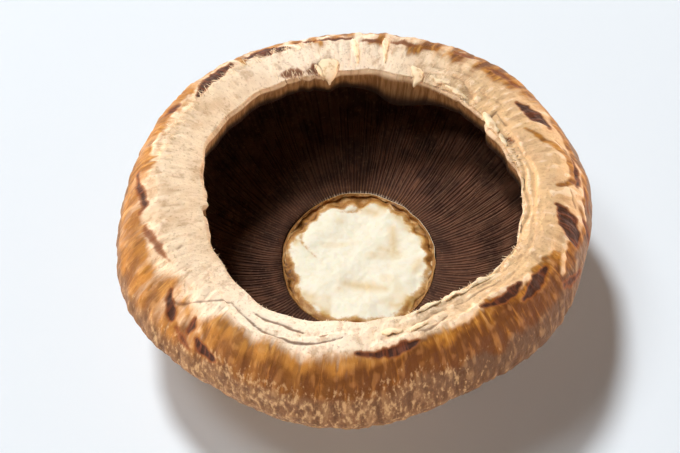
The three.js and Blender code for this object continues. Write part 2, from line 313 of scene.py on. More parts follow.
# %% Where the marks are
# Cracks and the edges of torn layers: thin lines of browned tissue and painted shade, with a groove under
# them.
CRACKS = [
    (0.7, [(220, 14.2, 0.4), (222, 13, 0.3), (227, 9, 0.25), (232, 5.2, 0.25), (239, 5.9, 0.3)]),
    (0.9, [(239, 5.9, 0.3), (245, 7.5, 0.3), (253, 8.2, 0.35), (260, 7.6, 0.35), (266, 5.5, 0.2)]),
    (0.9, [(240, 3.4, 0.25), (244, 3.9, 0.4), (249, 3.9, 0.45), (255, 4.4, 0.25)]),
    (0.8, [(259, 5.1, 0.2), (260.5, 5.4, 0.5), (262, 4.9, 0.2)]),
    (0.4, [(161, 6.4, 0.1), (163, 8.4, 0.3), (162, 10, 0.1)]),
    (0.7, [(286, 6.9, 0.2), (289, 7.9, 0.35), (293, 7.4, 0.4), (297, 6.0, 0.2)]),
    (0.6, [(284, 4.2, 0.15), (288, 4.4, 0.3), (293, 3.8, 0.3), (298, 3.6, 0.15)]),
    (0.6, [(300, 3.9, 0.15), (306, 4.4, 0.3), (311, 3.8, 0.3), (318, 4.2, 0.15)]),
    (0.5, [(306, 2.2, 0.15), (312, 2.5, 0.3), (320, 2.2, 0.3), (326, 3.0, 0.15)]),
    (0.4, [(18, 1.0, 0.3), (20, 2.4, 0.35), (22, 4.2, 0.1)]),
    (0.35, [(14, 0.8, 0.3), (15, 2.2, 0.25), (13, 4.6, 0.1)]),
    (0.5, [(41, 1.4, 0.2), (46, 2.4, 0.35), (52, 4.2, 0.3), (59, 3.6, 0.2), (65, 2.4, 0.1)]),
    (0.4, [(44, 5.4, 0.15), (50, 6.2, 0.3), (57, 5.6, 0.3), (64, 4.6, 0.15)]),
    (0.4, [(29, 4.8, 0.15), (35, 5.2, 0.3), (41, 4.2, 0.3), (47, 4.6, 0.15)]),
    (1.0, [(33.5, 0.4, 0.35), (33, 2.0, 0.3), (33.4, 3.4, 0.1)]),
    (0.6, [(26, 3.4, 0.3), (30, 3.2, 0.3), (33, 3.4, 0.2)]),
    (0.7, [(16, 11.8, 0.2), (12.5, 14.0, 0.4), (9, 15.6, 0.5), (4, 14.8, 0.4), (0.5, 13.0, 0.2)]),
    (0.6, [(0, 10.2, 0.2), (355.5, 12.0, 0.3), (352, 13.6, 0.3)]),
    (0.5, [(214, 7.4, 0.25), (214.4, 7.8, 0.3)]),
    (0.5, [(205, 5.4, 0.1), (206, 6.4, 0.3), (207, 7.0, 0.1)]),
]  # fmt: skip

# Dark scales and bruises: brown to almost black.
BRUISES = [
    (0.9, [(124.5, 11.4, 0.6), (119.5, 11.0, 1.9), (115, 10.4, 2.0), (111, 9.4, 0.8)]),
    (1.0, [(130, 11.0, 0.7), (133, 11.5, 1.8), (137, 11.6, 2.0), (141, 11.0, 1.1), (145.5, 9.5, 0.3)]),
    (0.7, [(150.5, 13.0, 0.8), (152.5, 14.2, 1.0), (154, 15.0, 0.5)]),
    (0.75, [(175.5, 15.6, 0.5), (180, 14.6, 0.7), (184, 13.2, 0.9),
            (188.5, 12.2, 0.6), (190, 13.4, 0.4)]),
    (0.5, [(195, 12.6, 0.4), (198, 11.9, 0.8), (202, 10.8, 0.8), (206, 10.1, 0.4), (209, 9.5, 0.15)]),
    (1.0, [(216.5, 13.0, 0.3), (218, 14.6, 0.9), (220, 16.0, 1.0), (221.5, 17.2, 0.5)]),
    (1.0, [(227.5, 13.6, 0.3), (227.5, 15.2, 0.8), (227, 17.0, 0.5)]),
    (1.0, [(230.5, 17.2, 0.5), (233, 18.4, 1.4), (235.5, 19.0, 0.6)]),
    (0.6, [(224, 18.2, 0.4), (227, 19.4, 0.8), (229, 20.0, 0.4)]),
    (1.0, [(270, 9.6, 0.2), (274, 10.2, 0.55), (279, 10.6, 1.1), (283, 10.2, 1.1), (286, 9.6, 0.4)]),
    (1.0, [(305.5, 8.2, 0.2), (309, 9.3, 0.45), (312.5, 9.7, 0.8), (316, 9.2, 1.2), (318.5, 8.6, 0.6)]),
    (1.0, [(317, 12.4, 0.5), (320.5, 11.8, 1.3), (324, 11.4, 1.8), (328, 11.2, 0.6)]),
    (0.7, [(330, 18.0, 0.7), (334, 20.0, 1.1), (339, 22.5, 0.6)]),
    (0.95, [(32.5, 8.8, 0.3), (29.5, 9.8, 1.4), (25.5, 10.8, 2.0), (21.5, 12.0, 0.8)]),
    (1.0, [(350.5, 8.2, 0.4), (348, 10.2, 1.6), (345.5, 12.3, 2.8),
           (343.5, 14.2, 2.6), (342.5, 15.6, 1.2)]),
    (0.8, [(350, 16.5, 0.5), (349.5, 19.5, 1.0), (349.5, 23.0, 0.5)]),
    (0.8, [(10.5, 15.0, 0.4), (6.5, 15.8, 0.8), (2.5, 15.2, 0.9), (359.5, 13.8, 0.4)]),
    (0.6, [(2, 17.6, 0.4), (358, 18.2, 0.6), (355.5, 19.5, 0.4)]),
    (0.55, [(48.5, 12.4, 0.6), (46, 13.2, 1.3), (43, 13.6, 0.7)]),
    (0.5, [(41.5, 13.0, 0.5), (39, 13.8, 1.0)]),
    (0.5, [(60, 12.6, 0.4), (57, 13.4, 0.9), (54, 13.6, 0.5)]),
    (0.8, [(100, 10.4, 0.5), (95, 10.8, 0.8), (91, 10.2, 0.4)]),
    (0.7, [(108, 11.6, 0.4), (104, 11.0, 0.7), (101, 10.6, 0.3)]),
    (0.55, [(87, 9.0, 0.4), (84, 9.2, 0.8), (81.5, 8.6, 0.4)]),
    (0.5, [(78, 9.2, 0.4), (75, 9.8, 0.8), (71.5, 9.4, 0.4)]),
    (0.55, [(118, 1.9, 0.5), (114.5, 1.7, 1.1), (111, 1.4, 0.9), (109, 1.6, 0.3)]),
    (0.6, [(107.5, 1.4, 0.5), (105, 1.9, 1.0), (102.5, 2.0, 0.9), (100.6, 2.8, 0.4)]),
    (0.5, [(21.5, 1.6, 0.5), (19.5, 2.2, 0.6)]),
]  # fmt: skip

# Golden brown stains along the edges of layers that have lifted and dried.
STAINED_EDGES = [
    (1.0, [(22, 6.0, 0.4), (15, 8.8, 0.8), (12.5, 11.2, 1.1), (9.3, 13.6, 1.7), (6, 14.2, 1.7)]),
    (1.0, [(6, 14.2, 1.7), (1.5, 13.2, 1.4), (358.8, 11.0, 0.9), (357.5, 8.4, 0.5)]),
    (0.9, [(330, 9.4, 1.0), (333, 12.4, 1.7), (337, 16.0, 1.6)]),
    (0.7, [(157, 11.0, 1.0), (160, 12.0, 1.2)]),
    (0.9, [(326, 9.2, 1.2), (330, 11.2, 1.6), (334, 11.6, 1.2)]),
    (0.7, [(148, 11.0, 1.4), (152, 11.8, 1.2)]),
    (0.6, [(50, 7.6, 0.6), (56, 8.4, 0.9), (62, 7.8, 0.6)]),
    (0.6, [(66, 8.0, 0.5), (67, 10.0, 0.8)]),
    (0.6, [(86, 7.4, 0.7), (84, 9.0, 1.2)]),
    (0.6, [(94, 7.6, 0.7), (93, 9.0, 1.0)]),
]  # fmt: skip

# Pale layers that stand up over the stain: they stay cream and cast a small shadow.
PALE_FLAPS = [
    (1.0, [(354, 7.4, 0.5), (355, 10.0, 1.0), (357, 13.0, 1.5), (358, 15.4, 1.2)]),
    (0.9, [(357, 13.6, 1.3), (354.5, 15.8, 1.0), (351, 17.2, 0.6)]),
    (0.9, [(323, 8.6, 0.4), (320, 8.9, 0.7), (316, 7.4, 0.6), (310, 7.6, 0.4)]),
    (0.9, [(288, 7.6, 0.6), (284, 8.0, 1.0), (279, 8.4, 1.0), (274, 8.2, 0.5)]),
    (0.9, [(296, 9.4, 0.6), (301, 8.8, 1.3), (305, 7.4, 0.6)]),
    (0.7, [(331, 15.2, 0.7), (336, 13.4, 0.8), (340, 12.4, 0.4)]),
    (0.8, [(335, 20.4, 0.4), (338, 18.8, 0.5)]),
    (0.35, [(222.5, 14.2, 0.6), (224, 15.6, 1.3), (224.5, 17.2, 0.5)]),
    (0.35, [(229, 16.0, 0.5), (230.5, 15.2, 0.9), (232, 16.4, 0.4)]),
    (0.6, [(163, 11.6, 0.4), (166, 12.6, 0.9), (170, 12.2, 0.5)]),
    (0.6, [(126, 10.6, 0.6), (128, 12.4, 0.9), (127, 13.8, 0.4)]),
]  # fmt: skip

# Where the brown of the outer skin starts, in millimetres from the lip, and how deep it is there.
STAIN = [
    # (place in degrees, where the brown starts, how deep it is)
    (0, 17.0, 0.2), (15, 17.5, 0.2), (30, 13.8, 0.3), (55, 8.4, 0.6), (80, 8.8, 0.55), (100, 10.2, 0.55),
    (125, 10.8, 0.4), (150, 11.2, 0.4), (180, 12.0, 0.3), (200, 12.0, 0.35), (225, 11.6, 0.45),
    (250, 11.2, 0.7), (270, 10.8, 1.0), (290, 9.6, 1.0), (310, 9.2, 1.0), (330, 10.6, 0.8),
    (345, 14.5, 0.4),
]  # fmt: skip

# %% [markdown]
# ## The cap's surface
#
# A dense sheet of meridians can hold the relief that a torn, scaly skin has: 720 round the cap are
# 0.45 mm apart at the widest line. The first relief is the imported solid's own, so that the form is kept.
# Over it come radial fibres, pits and the grooves of the cracks.

# %% Stations along each meridian
MERIDIANS = 720
theta = (np.arange(MERIDIANS) / MERIDIANS * TAU)[:, None]
one = np.ones_like(theta)

turns = np.linspace(0.1, 1, 30)[None, :-1]
shares = np.linspace(1, 0.012, 72)[None, :]
below_widest = SKIN_TO_WIDEST + (1 - turns) * SKIN_TO_CROWN
skin_distance = np.concatenate([below_widest, shares * SKIN_TO_WIDEST], 1)
crown_r, crown_z = crown_line(theta, turns)
margin_r, margin_z = margin_line(theta, shares)
skin_r, skin_z = np.concatenate([crown_r, margin_r], 1), np.concatenate([crown_z, margin_z], 1)

# The widest line and the crest are softened: each station moves towards its neighbours, a few times.
for _ in range(12):
    for line in (skin_r, skin_z):
        line[:, 1:-1] = 0.25 * line[:, :-2] + 0.5 * line[:, 1:-1] + 0.25 * line[:, 2:]
print("stations on the skin:", skin_distance.shape[1])

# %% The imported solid's relief
# Torn layers: (place and half width in degrees, millimetres from the lip, how far that wanders, height).
LAYER_EDGES = [(243, 24, 6.2, 2.2, 0.9), (5, 26, 3.0, 0.8, 0.6), (300, 20, 6.6, 1.0, 0.6)]
SCALE_COUNT, SCALE_HEIGHT = 60, 0.25
SCALE_WIDTH, SCALE_LENGTH = 5.5, 8.0


def frame_relief(theta, distance):
    """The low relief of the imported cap: torn layers, flat scales, wrinkles and lumps."""
    relief = 0 * theta + 0 * distance
    for at, width, from_lip, wander, rise in LAYER_EDGES:
        along = degrees_from(at, theta) / width
        outside = distance - from_lip - wander * np.cos(3 * along)
        relief += rise * np.exp(-(along**4)) * smooth(outside / 0.6 + 0.5) * smooth(1.4 - outside / 9)
    for i in range(SCALE_COUNT):
        across = np.radians(degrees_from(i * 137.5 % 360, theta)) * CAP_RADIUS / (SCALE_WIDTH / 2)
        middle = mix(9, 50, (i * 0.618 % 1) ** 1.2)
        along = (middle - distance) / SCALE_LENGTH + 0.5
        height = SCALE_HEIGHT * (0.6 + 0.4 * math.sin(i * 2.3))
        lifted = smooth(along) * smooth((1.25 - along) * 4) * (along > 0)
        relief += height * np.exp(-(across**2)) * lifted
    broken = np.sin(3 * theta + 0.35 * distance) * np.sin(0.5 * distance + 5 * theta)
    wrinkle = np.cos(36 * theta + 1.2 * np.sin(4 * theta)) * (0.6 + 0.4 * broken)
    lump = 0.3 * np.sin(4 * theta + 0.22 * distance) + 0.2 * np.cos(7 * theta - 0.3 * distance)
    return relief + smooth((distance - 6) / 8) * (0.12 * wrinkle + lump)


# %% Fibres, pits and the masks for the marks
fibre = cap_noise(theta, skin_distance, 1.4, 6.0, seed=11)
fine_fibre = cap_noise(theta, skin_distance, 0.8, 3.2, seed=12)
pit = cap_noise(theta, skin_distance, 1.4, 1.4, seed=13)
patch = cap_noise(theta, skin_distance, 8.0, 6.0, seed=14)
strand = cap_noise(theta + skin_distance * 0.004, skin_distance, 1.0, 2.6, seed=15)
swell = cap_noise(theta, skin_distance, 4.0, 4.0, seed=16)

cracks = marks(theta, skin_distance, CRACKS, ragged=0.15, soft=0.5, seed=20)
bruises = marks(theta, skin_distance, BRUISES, ragged=0.35, soft=1.5, seed=50)
halo = marks(theta, skin_distance, BRUISES, ragged=0.8, soft=5.0, seed=80)
stained = marks(theta, skin_distance, STAINED_EDGES, ragged=0.4, soft=1.5, seed=110)
flaps = marks(theta, skin_distance, PALE_FLAPS, ragged=0.6, soft=1.5, seed=140)

# %% The stain of the outer skin
# Its edge is frayed in strands where the veil tore away, and fades evenly elsewhere. Each place is
# (degrees round the cap, half width in degrees, how much further the strands run there, in millimetres).
WIDE_STRANDS = [(50, 24, 2.0), (85, 26, 2.2), (140, 30, 1.6)]
WIDE_STRANDS += [(200, 25, 1.2), (310, 30, 1.2), (5, 25, 1.0)]
FINE_STRANDS = [(135, 38, 2.4), (75, 30, 1.0)]
degrees = np.degrees(theta)
stain_places, starts_at, depth_at = zip(*STAIN)
stain_start = np.interp(degrees, stain_places, starts_at, period=360)
stain_depth = np.interp(degrees, stain_places, depth_at, period=360)
wide_strand = cap_noise(theta, 0.3 * skin_distance, 3.0, 5.0, seed=21)
into = skin_distance - stain_start + (patch - 0.5) * 3.0
into = into + (wide_strand - 0.5) * 2 * (0.6 + bumps(WIDE_STRANDS, theta))
into = into + (fine_fibre - 0.5) * 2 * (0.5 + bumps(FINE_STRANDS, theta))
fade = 3.0 + 3.5 * zone(245, 50, theta) + 3.0 * zone(75, 45, theta)
golden = smooth((into + 0.6 * fade) / fade) * (0.8 + 0.4 * patch)
golden = np.maximum(golden, stained)
golden = np.maximum(golden, 0.75 * halo * smooth((skin_distance - 5) / 4))
print("stained share of the skin:", round(float((golden > 0.5).mean()), 2))

# %% What differs from side to side
# At the left, pale strands lie over the gold. At the back, the stain near the lip is broken into patches.
# The flaps stay mostly pale, and the deep brown starts a little further from the lip than the gold.
pale_strand = smooth((cap_noise(theta, skin_distance, 1.7, 7.0, seed=22) - 0.42) / 0.25)
left_side = zone(172, 62, theta)
golden = golden * (1 - 0.3 * left_side * pale_strand) * (1 - 0.85 * flaps)
back_side = zone(82, 52, theta) * smooth((17.5 - skin_distance) / 4)
patchy = smooth((cap_noise(theta, skin_distance, 1.8, 4.5, seed=24) - 0.25) / 0.45)
clear = 1 - 0.62 * back_side * (1 - patchy)
golden = golden * clear
deep = stain_depth * smooth((into - 0.5) / 4.0) * (1 - 0.9 * flaps) * clear

# At the right the ring is warmer, and the flank is greyer and starts sooner. At the front the flank is
# flaky. The ring is freshest, almost white, at the front and at the back.
warm = zone(0, 68, theta) + 0 * skin_distance
grey_side = zone(6, 32, theta) + 0 * skin_distance
flank = smooth((into - mix(6.2, 1.2, grey_side)) / mix(5.0, 2.5, grey_side))
flaky = 0.62 * zone(255, 58, theta) * smooth((into - 3) / 5)
fresh = bumps([(254, 24, 1.0), (100, 32, 1.0), (228, 20, 0.3)], theta) + 0 * skin_distance

# %% Folds and crumpled places near the lip
near_lip = smooth(1.1 - skin_distance / 6.5)
folded = zone(2, 32, theta, 2) + 0.8 * zone(312, 24, theta, 2)
fold_wave = skin_distance * TAU / 1.9 + 8.0 * (cap_noise(theta, skin_distance, 9, 3, 17) - 0.5)
folds = np.sin(fold_wave) * near_lip * folded * (0.35 + 1.1 * cap_noise(theta, skin_distance, 6, 2, 18))
crumpled = zone(48, 15, theta) + 0.9 * zone(302, 26, theta) + 0.6 * zone(112, 9, theta)
crumple = crumpled * near_lip * (cap_noise(theta, skin_distance, 2.3, 1.6, 19) - 0.45)

# %% Relief of the skin
# The fibres' relief grows outwards from the lip, and the lower flank is calmer at the right.
outer = smooth((skin_distance - 2) / 7)
relief = frame_relief(theta, skin_distance) - 0.12
fine_relief = 0.24 * (fibre - 0.5) * outer + 0.26 * (fine_fibre - 0.5) * (0.4 + outer)
fine_relief += 0.24 * (pit - 0.5) + 0.14 * (strand - 0.5) * flank
fine_relief += 0.2 * folds + 1.0 * crumple - 0.3 * cracks + 0.5 * flaps
calm = 1 - 0.7 * grey_side * smooth((skin_distance - 15) / 4)
relief += fine_relief * calm + 0.22 * (swell - 0.5) - 0.4 * bruises + 0.3 * halo


def blurred(field, across, along):
    """The mean of a field over a few meridians and stations on each side."""
    around = sum(np.roll(field, shift, 0) for shift in range(-across, across + 1)) / (2 * across + 1)
    padded = np.pad(around, ((0, 0), (along, along)), mode="edge")
    return sum(padded[:, i : i + field.shape[1]] for i in range(2 * along + 1)) / (2 * along + 1)


# Hollows get painted shade and some browning, and crests get a painted highlight: 0 is a hollow and 1 a
# crest.
browning_shade_and_highlight = np.clip(0.5 + (fine_relief - blurred(fine_relief, 4, 4)) / 0.4, 0, 1)
print("ridges and hollows:", np.percentile(browning_shade_and_highlight, [5, 50, 95]).round(2))

step_r, step_z = np.gradient(skin_r, axis=1), np.gradient(skin_z, axis=1)
length = np.hypot(step_r, step_z)
relief *= smooth(skin_z / 5) * smooth((skin_distance + 0.3) / 1.4)
skin_r = skin_r + relief * step_z / length
skin_z = skin_z - relief * step_r / length

# %% [markdown]
# The torn lip is a face about 5 mm high. It has a notch, a tongue that hangs in and a place where the
# veil tore deeper. Behind it the roof runs out to the gills' outer ends, and the flesh runs under them.

# %% The lip's ragged edge
# Bites and tongues: (place and half width in degrees, depth in millimetres, negative for a tongue).
LIP_BITES = [(193, 1.3, 2.2), (190, 1.6, -0.9), (100, 2.6, -1.2), (33.6, 0.9, 0.9), (29, 3.2, -0.7),
             (106, 1.0, 0.5), (111, 1.2, 0.6), (117, 1.0, 0.4), (332, 2.2, 0.6)]  # fmt: skip
rag = 1 + 1.3 * zone(305, 26, theta) + 1.0 * zone(48, 16, theta)
lip_ragged = 0.45 * rag * (cap_noise(theta, 0, 1.7, 9, seed=71, radius=35) - 0.5)
lip_ragged = lip_ragged + 0.5 * rag * (cap_noise(theta, 0, 4.5, 9, seed=72, radius=35) - 0.5)
tear = 2.4 * zone(72, 12, theta, 2)
lip = opening_radius(theta) + lip_ragged + bumps(LIP_BITES, theta)
lip_z = lip_height(theta) + 0.35 * (rag - 1) * (cap_noise(theta, 0, 2.3, 9, seed=75, radius=35) - 0.6)

# %% The torn face and the flesh under the gills
face_steps = np.linspace(0, 1, 14)[None, :]
face_height = LIP_THICKNESS + tear - 0.8
face_fibre = cap_noise(theta, face_steps * 5, 0.8, 8, seed=73, radius=35)
face_lumps = cap_noise(theta, face_steps * 5, 2.4, 3, seed=74, radius=35)
face_r = mix(lip, lip + LIP_UNDERCUT - tear, face_steps)
face_r = face_r + (0.15 * face_fibre + 0.6 * face_lumps) * np.sin(face_steps * math.pi)
face_z = lip_z - 0.8 - face_steps * face_height
edge_r = np.concatenate([lip + 0.72, lip + 0.36, lip + 0.08], 1)
edge_z = np.concatenate([lip_z - 0.04, lip_z - 0.2, lip_z - 0.5], 1)

roof_z = GILL_EDGE_Z[1] + 0.9
outer_wall = below_bed(theta, 1.0, 1.2)[0]
under = [below_bed(theta, t, 1.2) for t in np.linspace(1, 0.05, 9)]
roof_middle = mix(face_r[:, -1:], outer_wall, 0.5)
inner_r = np.concatenate([roof_middle, outer_wall, *[u[0] for u in under], collar_radius(theta)], 1)
inner_z = np.concatenate([roof_z * one, roof_z * one, *[u[1] for u in under], 6.7 * one], 1)

# %% The whole cap as one closed sheet
spot_r = np.array([[3.0, 6.0, 8.3]]) * one
radius = np.concatenate([spot_r, skin_r, edge_r, face_r, inner_r, 8.0 * one], 1)
height = np.concatenate([0 * spot_r, skin_z, edge_z, face_z, inner_z, 6.7 * one], 1)
cap_points = np.stack([radius * np.cos(theta), radius * np.sin(theta), height], -1) + AXIS
low, high = (np.array(corner) / MM for corner in cad_box)
cap_points = np.clip(cap_points, low, high)

skin_starts = spot_r.shape[1]
skin_ends = skin_starts + skin_r.shape[1]
face_starts = skin_ends + edge_r.shape[1]
face_ends = face_starts + face_r.shape[1]


def over_all(on_skin, on_spot=0.0, on_edge=0.0, on_face=0.0, on_rest=0.0):
    """A mask over every station of the cap, from its values on the skin and constants elsewhere."""
    whole = np.full(radius.shape, float(on_rest))
    whole[:, :skin_starts] = on_spot
    whole[:, skin_starts:skin_ends] = on_skin
    whole[:, skin_ends:face_starts] = on_edge
    whole[:, face_starts:face_ends] = on_face
    return whole


distance = over_all(skin_distance, SKIN_TO_WIDEST + SKIN_TO_CROWN, 0.0, -5 * face_steps, -8.0)
round_x, round_y = SKIN_RADIUS * np.cos(theta), SKIN_RADIUS * np.sin(theta)
grain = [round_x + 0 * distance, round_y + 0 * distance, distance]
cap_masks = {
    "golden": over_all(golden, 0.8),
    "deep": over_all(deep, 0.2),
    "flank": over_all(flank, 1.0),
    "bruise": over_all(bruises),
    "crack_brown_and_shade": over_all(cracks),
    "browning_shade_and_highlight": over_all(browning_shade_and_highlight, 0.5, 0.5, 0.5, 0.5),
    "warm": over_all(warm, 0.5),
    "fresh": over_all(fresh),
    "grey": over_all(grey_side),
    "flaky": over_all(flaky),
    "torn": over_all(0.0, on_edge=0.15, on_face=smooth(face_steps * 3 + 0.3) * one, on_rest=1.0),
    "inside": over_all(0.0, on_face=0.9 * smooth(face_steps * 2 - 0.9) * one, on_rest=1.0),
    "grain": np.stack(grain, -1) * MM,
}
cap = closed_mesh("cap_skin", cap_points, cap_masks)
print("cap:", len(cap.data.polygons), "faces")

# %% [markdown]
# ## Skin and flesh of the cap
#
# Portobello skin is cream where it turns in, and browns where it has met the air: golden at first, then
# deep brown, in streaks that follow the fibres. Lower on the flank it breaks into small flecks. The
# masks say where each of these is, and noise in the grain's own coordinates draws the fine streaks.
# The colours go over each other in layers, as a painter would lay them.


# %% Layers of colour
def new_material(name):
    material = bpy.data.materials.new(name)
    material.use_nodes = True
    material.node_tree.nodes.clear()
    return material, material.node_tree


def paint(tree, colour, layers):
    """Lays colours over one another: each where its mask goes from low to high, up to a strength."""
    for mask, low, high, strength, code in layers:
        links = {"Value": mask, "From Min": low, "From Max": high, "To Max": strength}
        share = add_node(tree, "ShaderNodeMapRange", links, interpolation_type="SMOOTHSTEP")
        over = code if isinstance(code, bpy.types.Node) else srgb(code)
        colour = add_node(tree, "ShaderNodeMix", {0: share, 6: colour, 7: over}, data_type="RGBA")
    return colour


def streaked(tree, mask, streak, amount):
    """A mask with streaks added, so that its edge runs out along the fibres."""
    links = {"Value": streak, "From Min": 0.25, "From Max": 0.75, "To Min": -amount, "To Max": amount}
    shift = add_node(tree, "ShaderNodeMapRange", links)
    stored = add_node(tree, "ShaderNodeAttribute", attribute_name=mask)
    return add_node(tree, "ShaderNodeMath", {0: stored, 1: shift}, operation="ADD")


# %% Noises of the skin, each with its size in millimetres
skin, tree = new_material("mushroom_skin")
grain_place = add_node(tree, "ShaderNodeAttribute", attribute_name="grain").outputs["Vector"]
SKIN_NOISES = {
    # name: (millimetres, how much a feature is stretched along the meridian, detail, roughness)
    "streak": (0.8, 8.0, 3, 0.6),
    "wide streak": (2.6, 4.0, 2, 0.5),
    "fleck": (0.7, 2.2, 3, 0.6),
    "blotch": (7.0, 1.0, 3, 0.6),
    "spot": (3.0, 1.2, 4, 0.65),
    "grit": (0.7, 1.0, 2, 0.6),
}
noises = {}
for name, (size, stretch, detail, roughness) in SKIN_NOISES.items():
    links = {0: grain_place, 1: (1, 1, 1 / stretch)}
    place = add_node(tree, "ShaderNodeVectorMath", links, operation="MULTIPLY")
    links = {"Vector": place, "Scale": 1 / (size * MM), "Detail": detail, "Roughness": roughness}
    noises[name] = add_node(tree, "ShaderNodeTexNoise", links)

# %% Material: mushroom skin, cream to brown, matt with a faint moist gloss
masks = {}
for name in ("crack_brown_and_shade", "warm", "fresh", "torn", "inside"):
    masks[name] = add_node(tree, "ShaderNodeAttribute", attribute_name=name)
FRAYED_MASKS = {
    # mask: (the noise that frays its edge, by how much)
    "golden": ("streak", 0.16),
    "deep": ("wide streak", 0.22),
    "flank": ("wide streak", 0.18),
    "bruise": ("streak", 0.12),
    "browning_shade_and_highlight": ("streak", 0.12),
    "grey": ("wide streak", 0.2),
    "flaky": ("fleck", 0.5),
}
for name, (noise, amount) in FRAYED_MASKS.items():
    masks[name] = streaked(tree, name, noises[noise], amount)

cream = paint(tree, srgb("#E9D3B4"), [
    (masks["warm"], 0.1, 1.0, 0.85, "#D2AC7A"),
    (noises["blotch"], 0.4, 0.68, 0.65, "#CBAA84"),
    (masks["fresh"], 0.0, 1.0, 0.8, "#FBEBD4"),
    # painted shade and browning in the hollows, painted highlight on the crests
    (masks["browning_shade_and_highlight"], 0.4, 0.05, 0.35, "#A98058"),
    (masks["browning_shade_and_highlight"], 0.6, 0.9, 0.35, "#FBEBD2"),
    (noises["spot"], 0.52, 0.68, 0.5, "#AC8862"),
    (noises["grit"], 0.56, 0.72, 0.45, "#A07A54"),
])
gold = paint(tree, srgb("#AA7226"), [
    (noises["wide streak"], 0.38, 0.66, 0.85, "#70400C"),
    (noises["streak"], 0.46, 0.32, 0.75, "#552C06"),
    (noises["streak"], 0.55, 0.7, 0.65, "#CC9A4C"),
    # painted shade and browning in the hollows, painted highlight on the crests
    (masks["browning_shade_and_highlight"], 0.45, 0.15, 0.5, "#623510"),
    (masks["browning_shade_and_highlight"], 0.6, 0.9, 0.35, "#D0A468"),
    (masks["warm"], 0.4, 0.0, 0.3, "#B48244"),
])
fleshy = paint(tree, srgb("#826244"), [
    (masks["warm"], 0.0, 0.6, 0.7, "#463426"),
    (masks["grey"], 0.2, 1.0, 0.85, "#84705F"),
    (noises["blotch"], 0.35, 0.65, 0.6, "#68482E"),
    # painted shade and browning in the hollows, painted highlight on the crests
    (masks["browning_shade_and_highlight"], 0.5, 0.15, 0.5, "#50331A"),
    (masks["browning_shade_and_highlight"], 0.55, 0.9, 0.45, "#A4845E"),
    (noises["fleck"], 0.53, 0.72, 0.45, "#A98C66"),
    (noises["fleck"], 0.47, 0.32, 0.45, "#452E1E"),
])
deep_brown = paint(tree, srgb("#5C3208"), [
    (noises["streak"], 0.54, 0.7, 0.65, "#A0661E"),
    (noises["wide streak"], 0.45, 0.3, 0.6, "#47260A"),
    # painted highlight on the crests
    (masks["browning_shade_and_highlight"], 0.55, 0.8, 0.5, "#9C6C38"),
])
dark = paint(tree, srgb("#341A10"), [(noises["streak"], 0.45, 0.65, 0.8, "#703A20")])
face = paint(tree, srgb("#86603A"), [(noises["streak"], 0.35, 0.7, 1.0, "#B48C60")])
colour = paint(tree, cream, [
    (masks["golden"], 0.15, 0.95, 1.0, gold),
    (masks["deep"], 0.2, 0.9, 0.85, deep_brown),
    (masks["flank"], 0.2, 0.95, 0.92, fleshy),
    (masks["flaky"], 0.56, 0.95, 0.7, "#C0A276"),
    (masks["bruise"], 0.03, 0.4, 0.85, "#84491C"),
    (masks["bruise"], 0.3, 0.75, 0.95, dark),
    # along the cracks: browned tissue and painted shade at the step
    (masks["crack_brown_and_shade"], 0.15, 0.9, 0.75, "#6A442A"),
    (masks["torn"], 0.0, 1.0, 1.0, face),
    (masks["inside"], 0.0, 1.0, 1.0, "#2A1813"),
])

relief_sum = add_node(tree, "ShaderNodeMath", {0: noises["streak"], 1: noises["grit"]}, operation="ADD")
bump = add_node(tree, "ShaderNodeBump", {"Height": relief_sum, "Strength": 0.7, "Distance": 0.35 * MM})
links = {"Base Color": colour, "Roughness": 0.6, "Specular IOR Level": 0.2, "Normal": bump}
links |= {"Subsurface Weight": 0.12, "Subsurface Radius": (1.0, 0.45, 0.2), "Subsurface Scale": 1.2 * MM}
surface = add_node(tree, "ShaderNodeBsdfPrincipled", links)
add_node(tree, "ShaderNodeOutputMaterial", {"Surface": surface})
cap.data.materials.append(skin)
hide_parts("cap")
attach(cap, "root")

# %% [markdown]
# ## Shreds of the veil
#
# The veil that once closed the cap tore off and left strips, flaps and a curled block on the lip. Each
# one is a closed tapering band with a lens-shaped section, laid along a path over the skin. A path's
# points are (degrees round the cap, millimetres from the lip, half width, height over the skin).


# %% Places over the skin
def on_skin(place, distance, lift):
    """Points over the skin, from degrees round the cap, millimetres from the lip and height over it."""
    column = np.asarray(place) % 360 / 360 * MERIDIANS
    first = np.floor(column).astype(int) % MERIDIANS
    part = column - np.floor(column)
    row = np.interp(-np.asarray(distance), -skin_distance[0], np.arange(skin_distance.shape[1]))
    above = np.minimum(np.floor(row).astype(int), skin_distance.shape[1] - 2)
    lines = []
    for line in (skin_r, skin_z):
        start = mix(line[first, above], line[(first + 1) % MERIDIANS, above], part)
        end = mix(line[first, above + 1], line[(first + 1) % MERIDIANS, above + 1], part)
        lines.append((start, end - start))
    (r, run), (z, rise) = lines
    size = np.hypot(run, rise)
    past = np.maximum(0, 0.3 - np.asarray(distance))
    r = r + (row - above) * run + lift * rise / size - 0.8 * past
    z = z + (row - above) * rise - lift * run / size - 0.35 * past
    turn = np.radians(place)
    return np.stack([r * np.cos(turn), r * np.sin(turn), z], -1) + AXIS


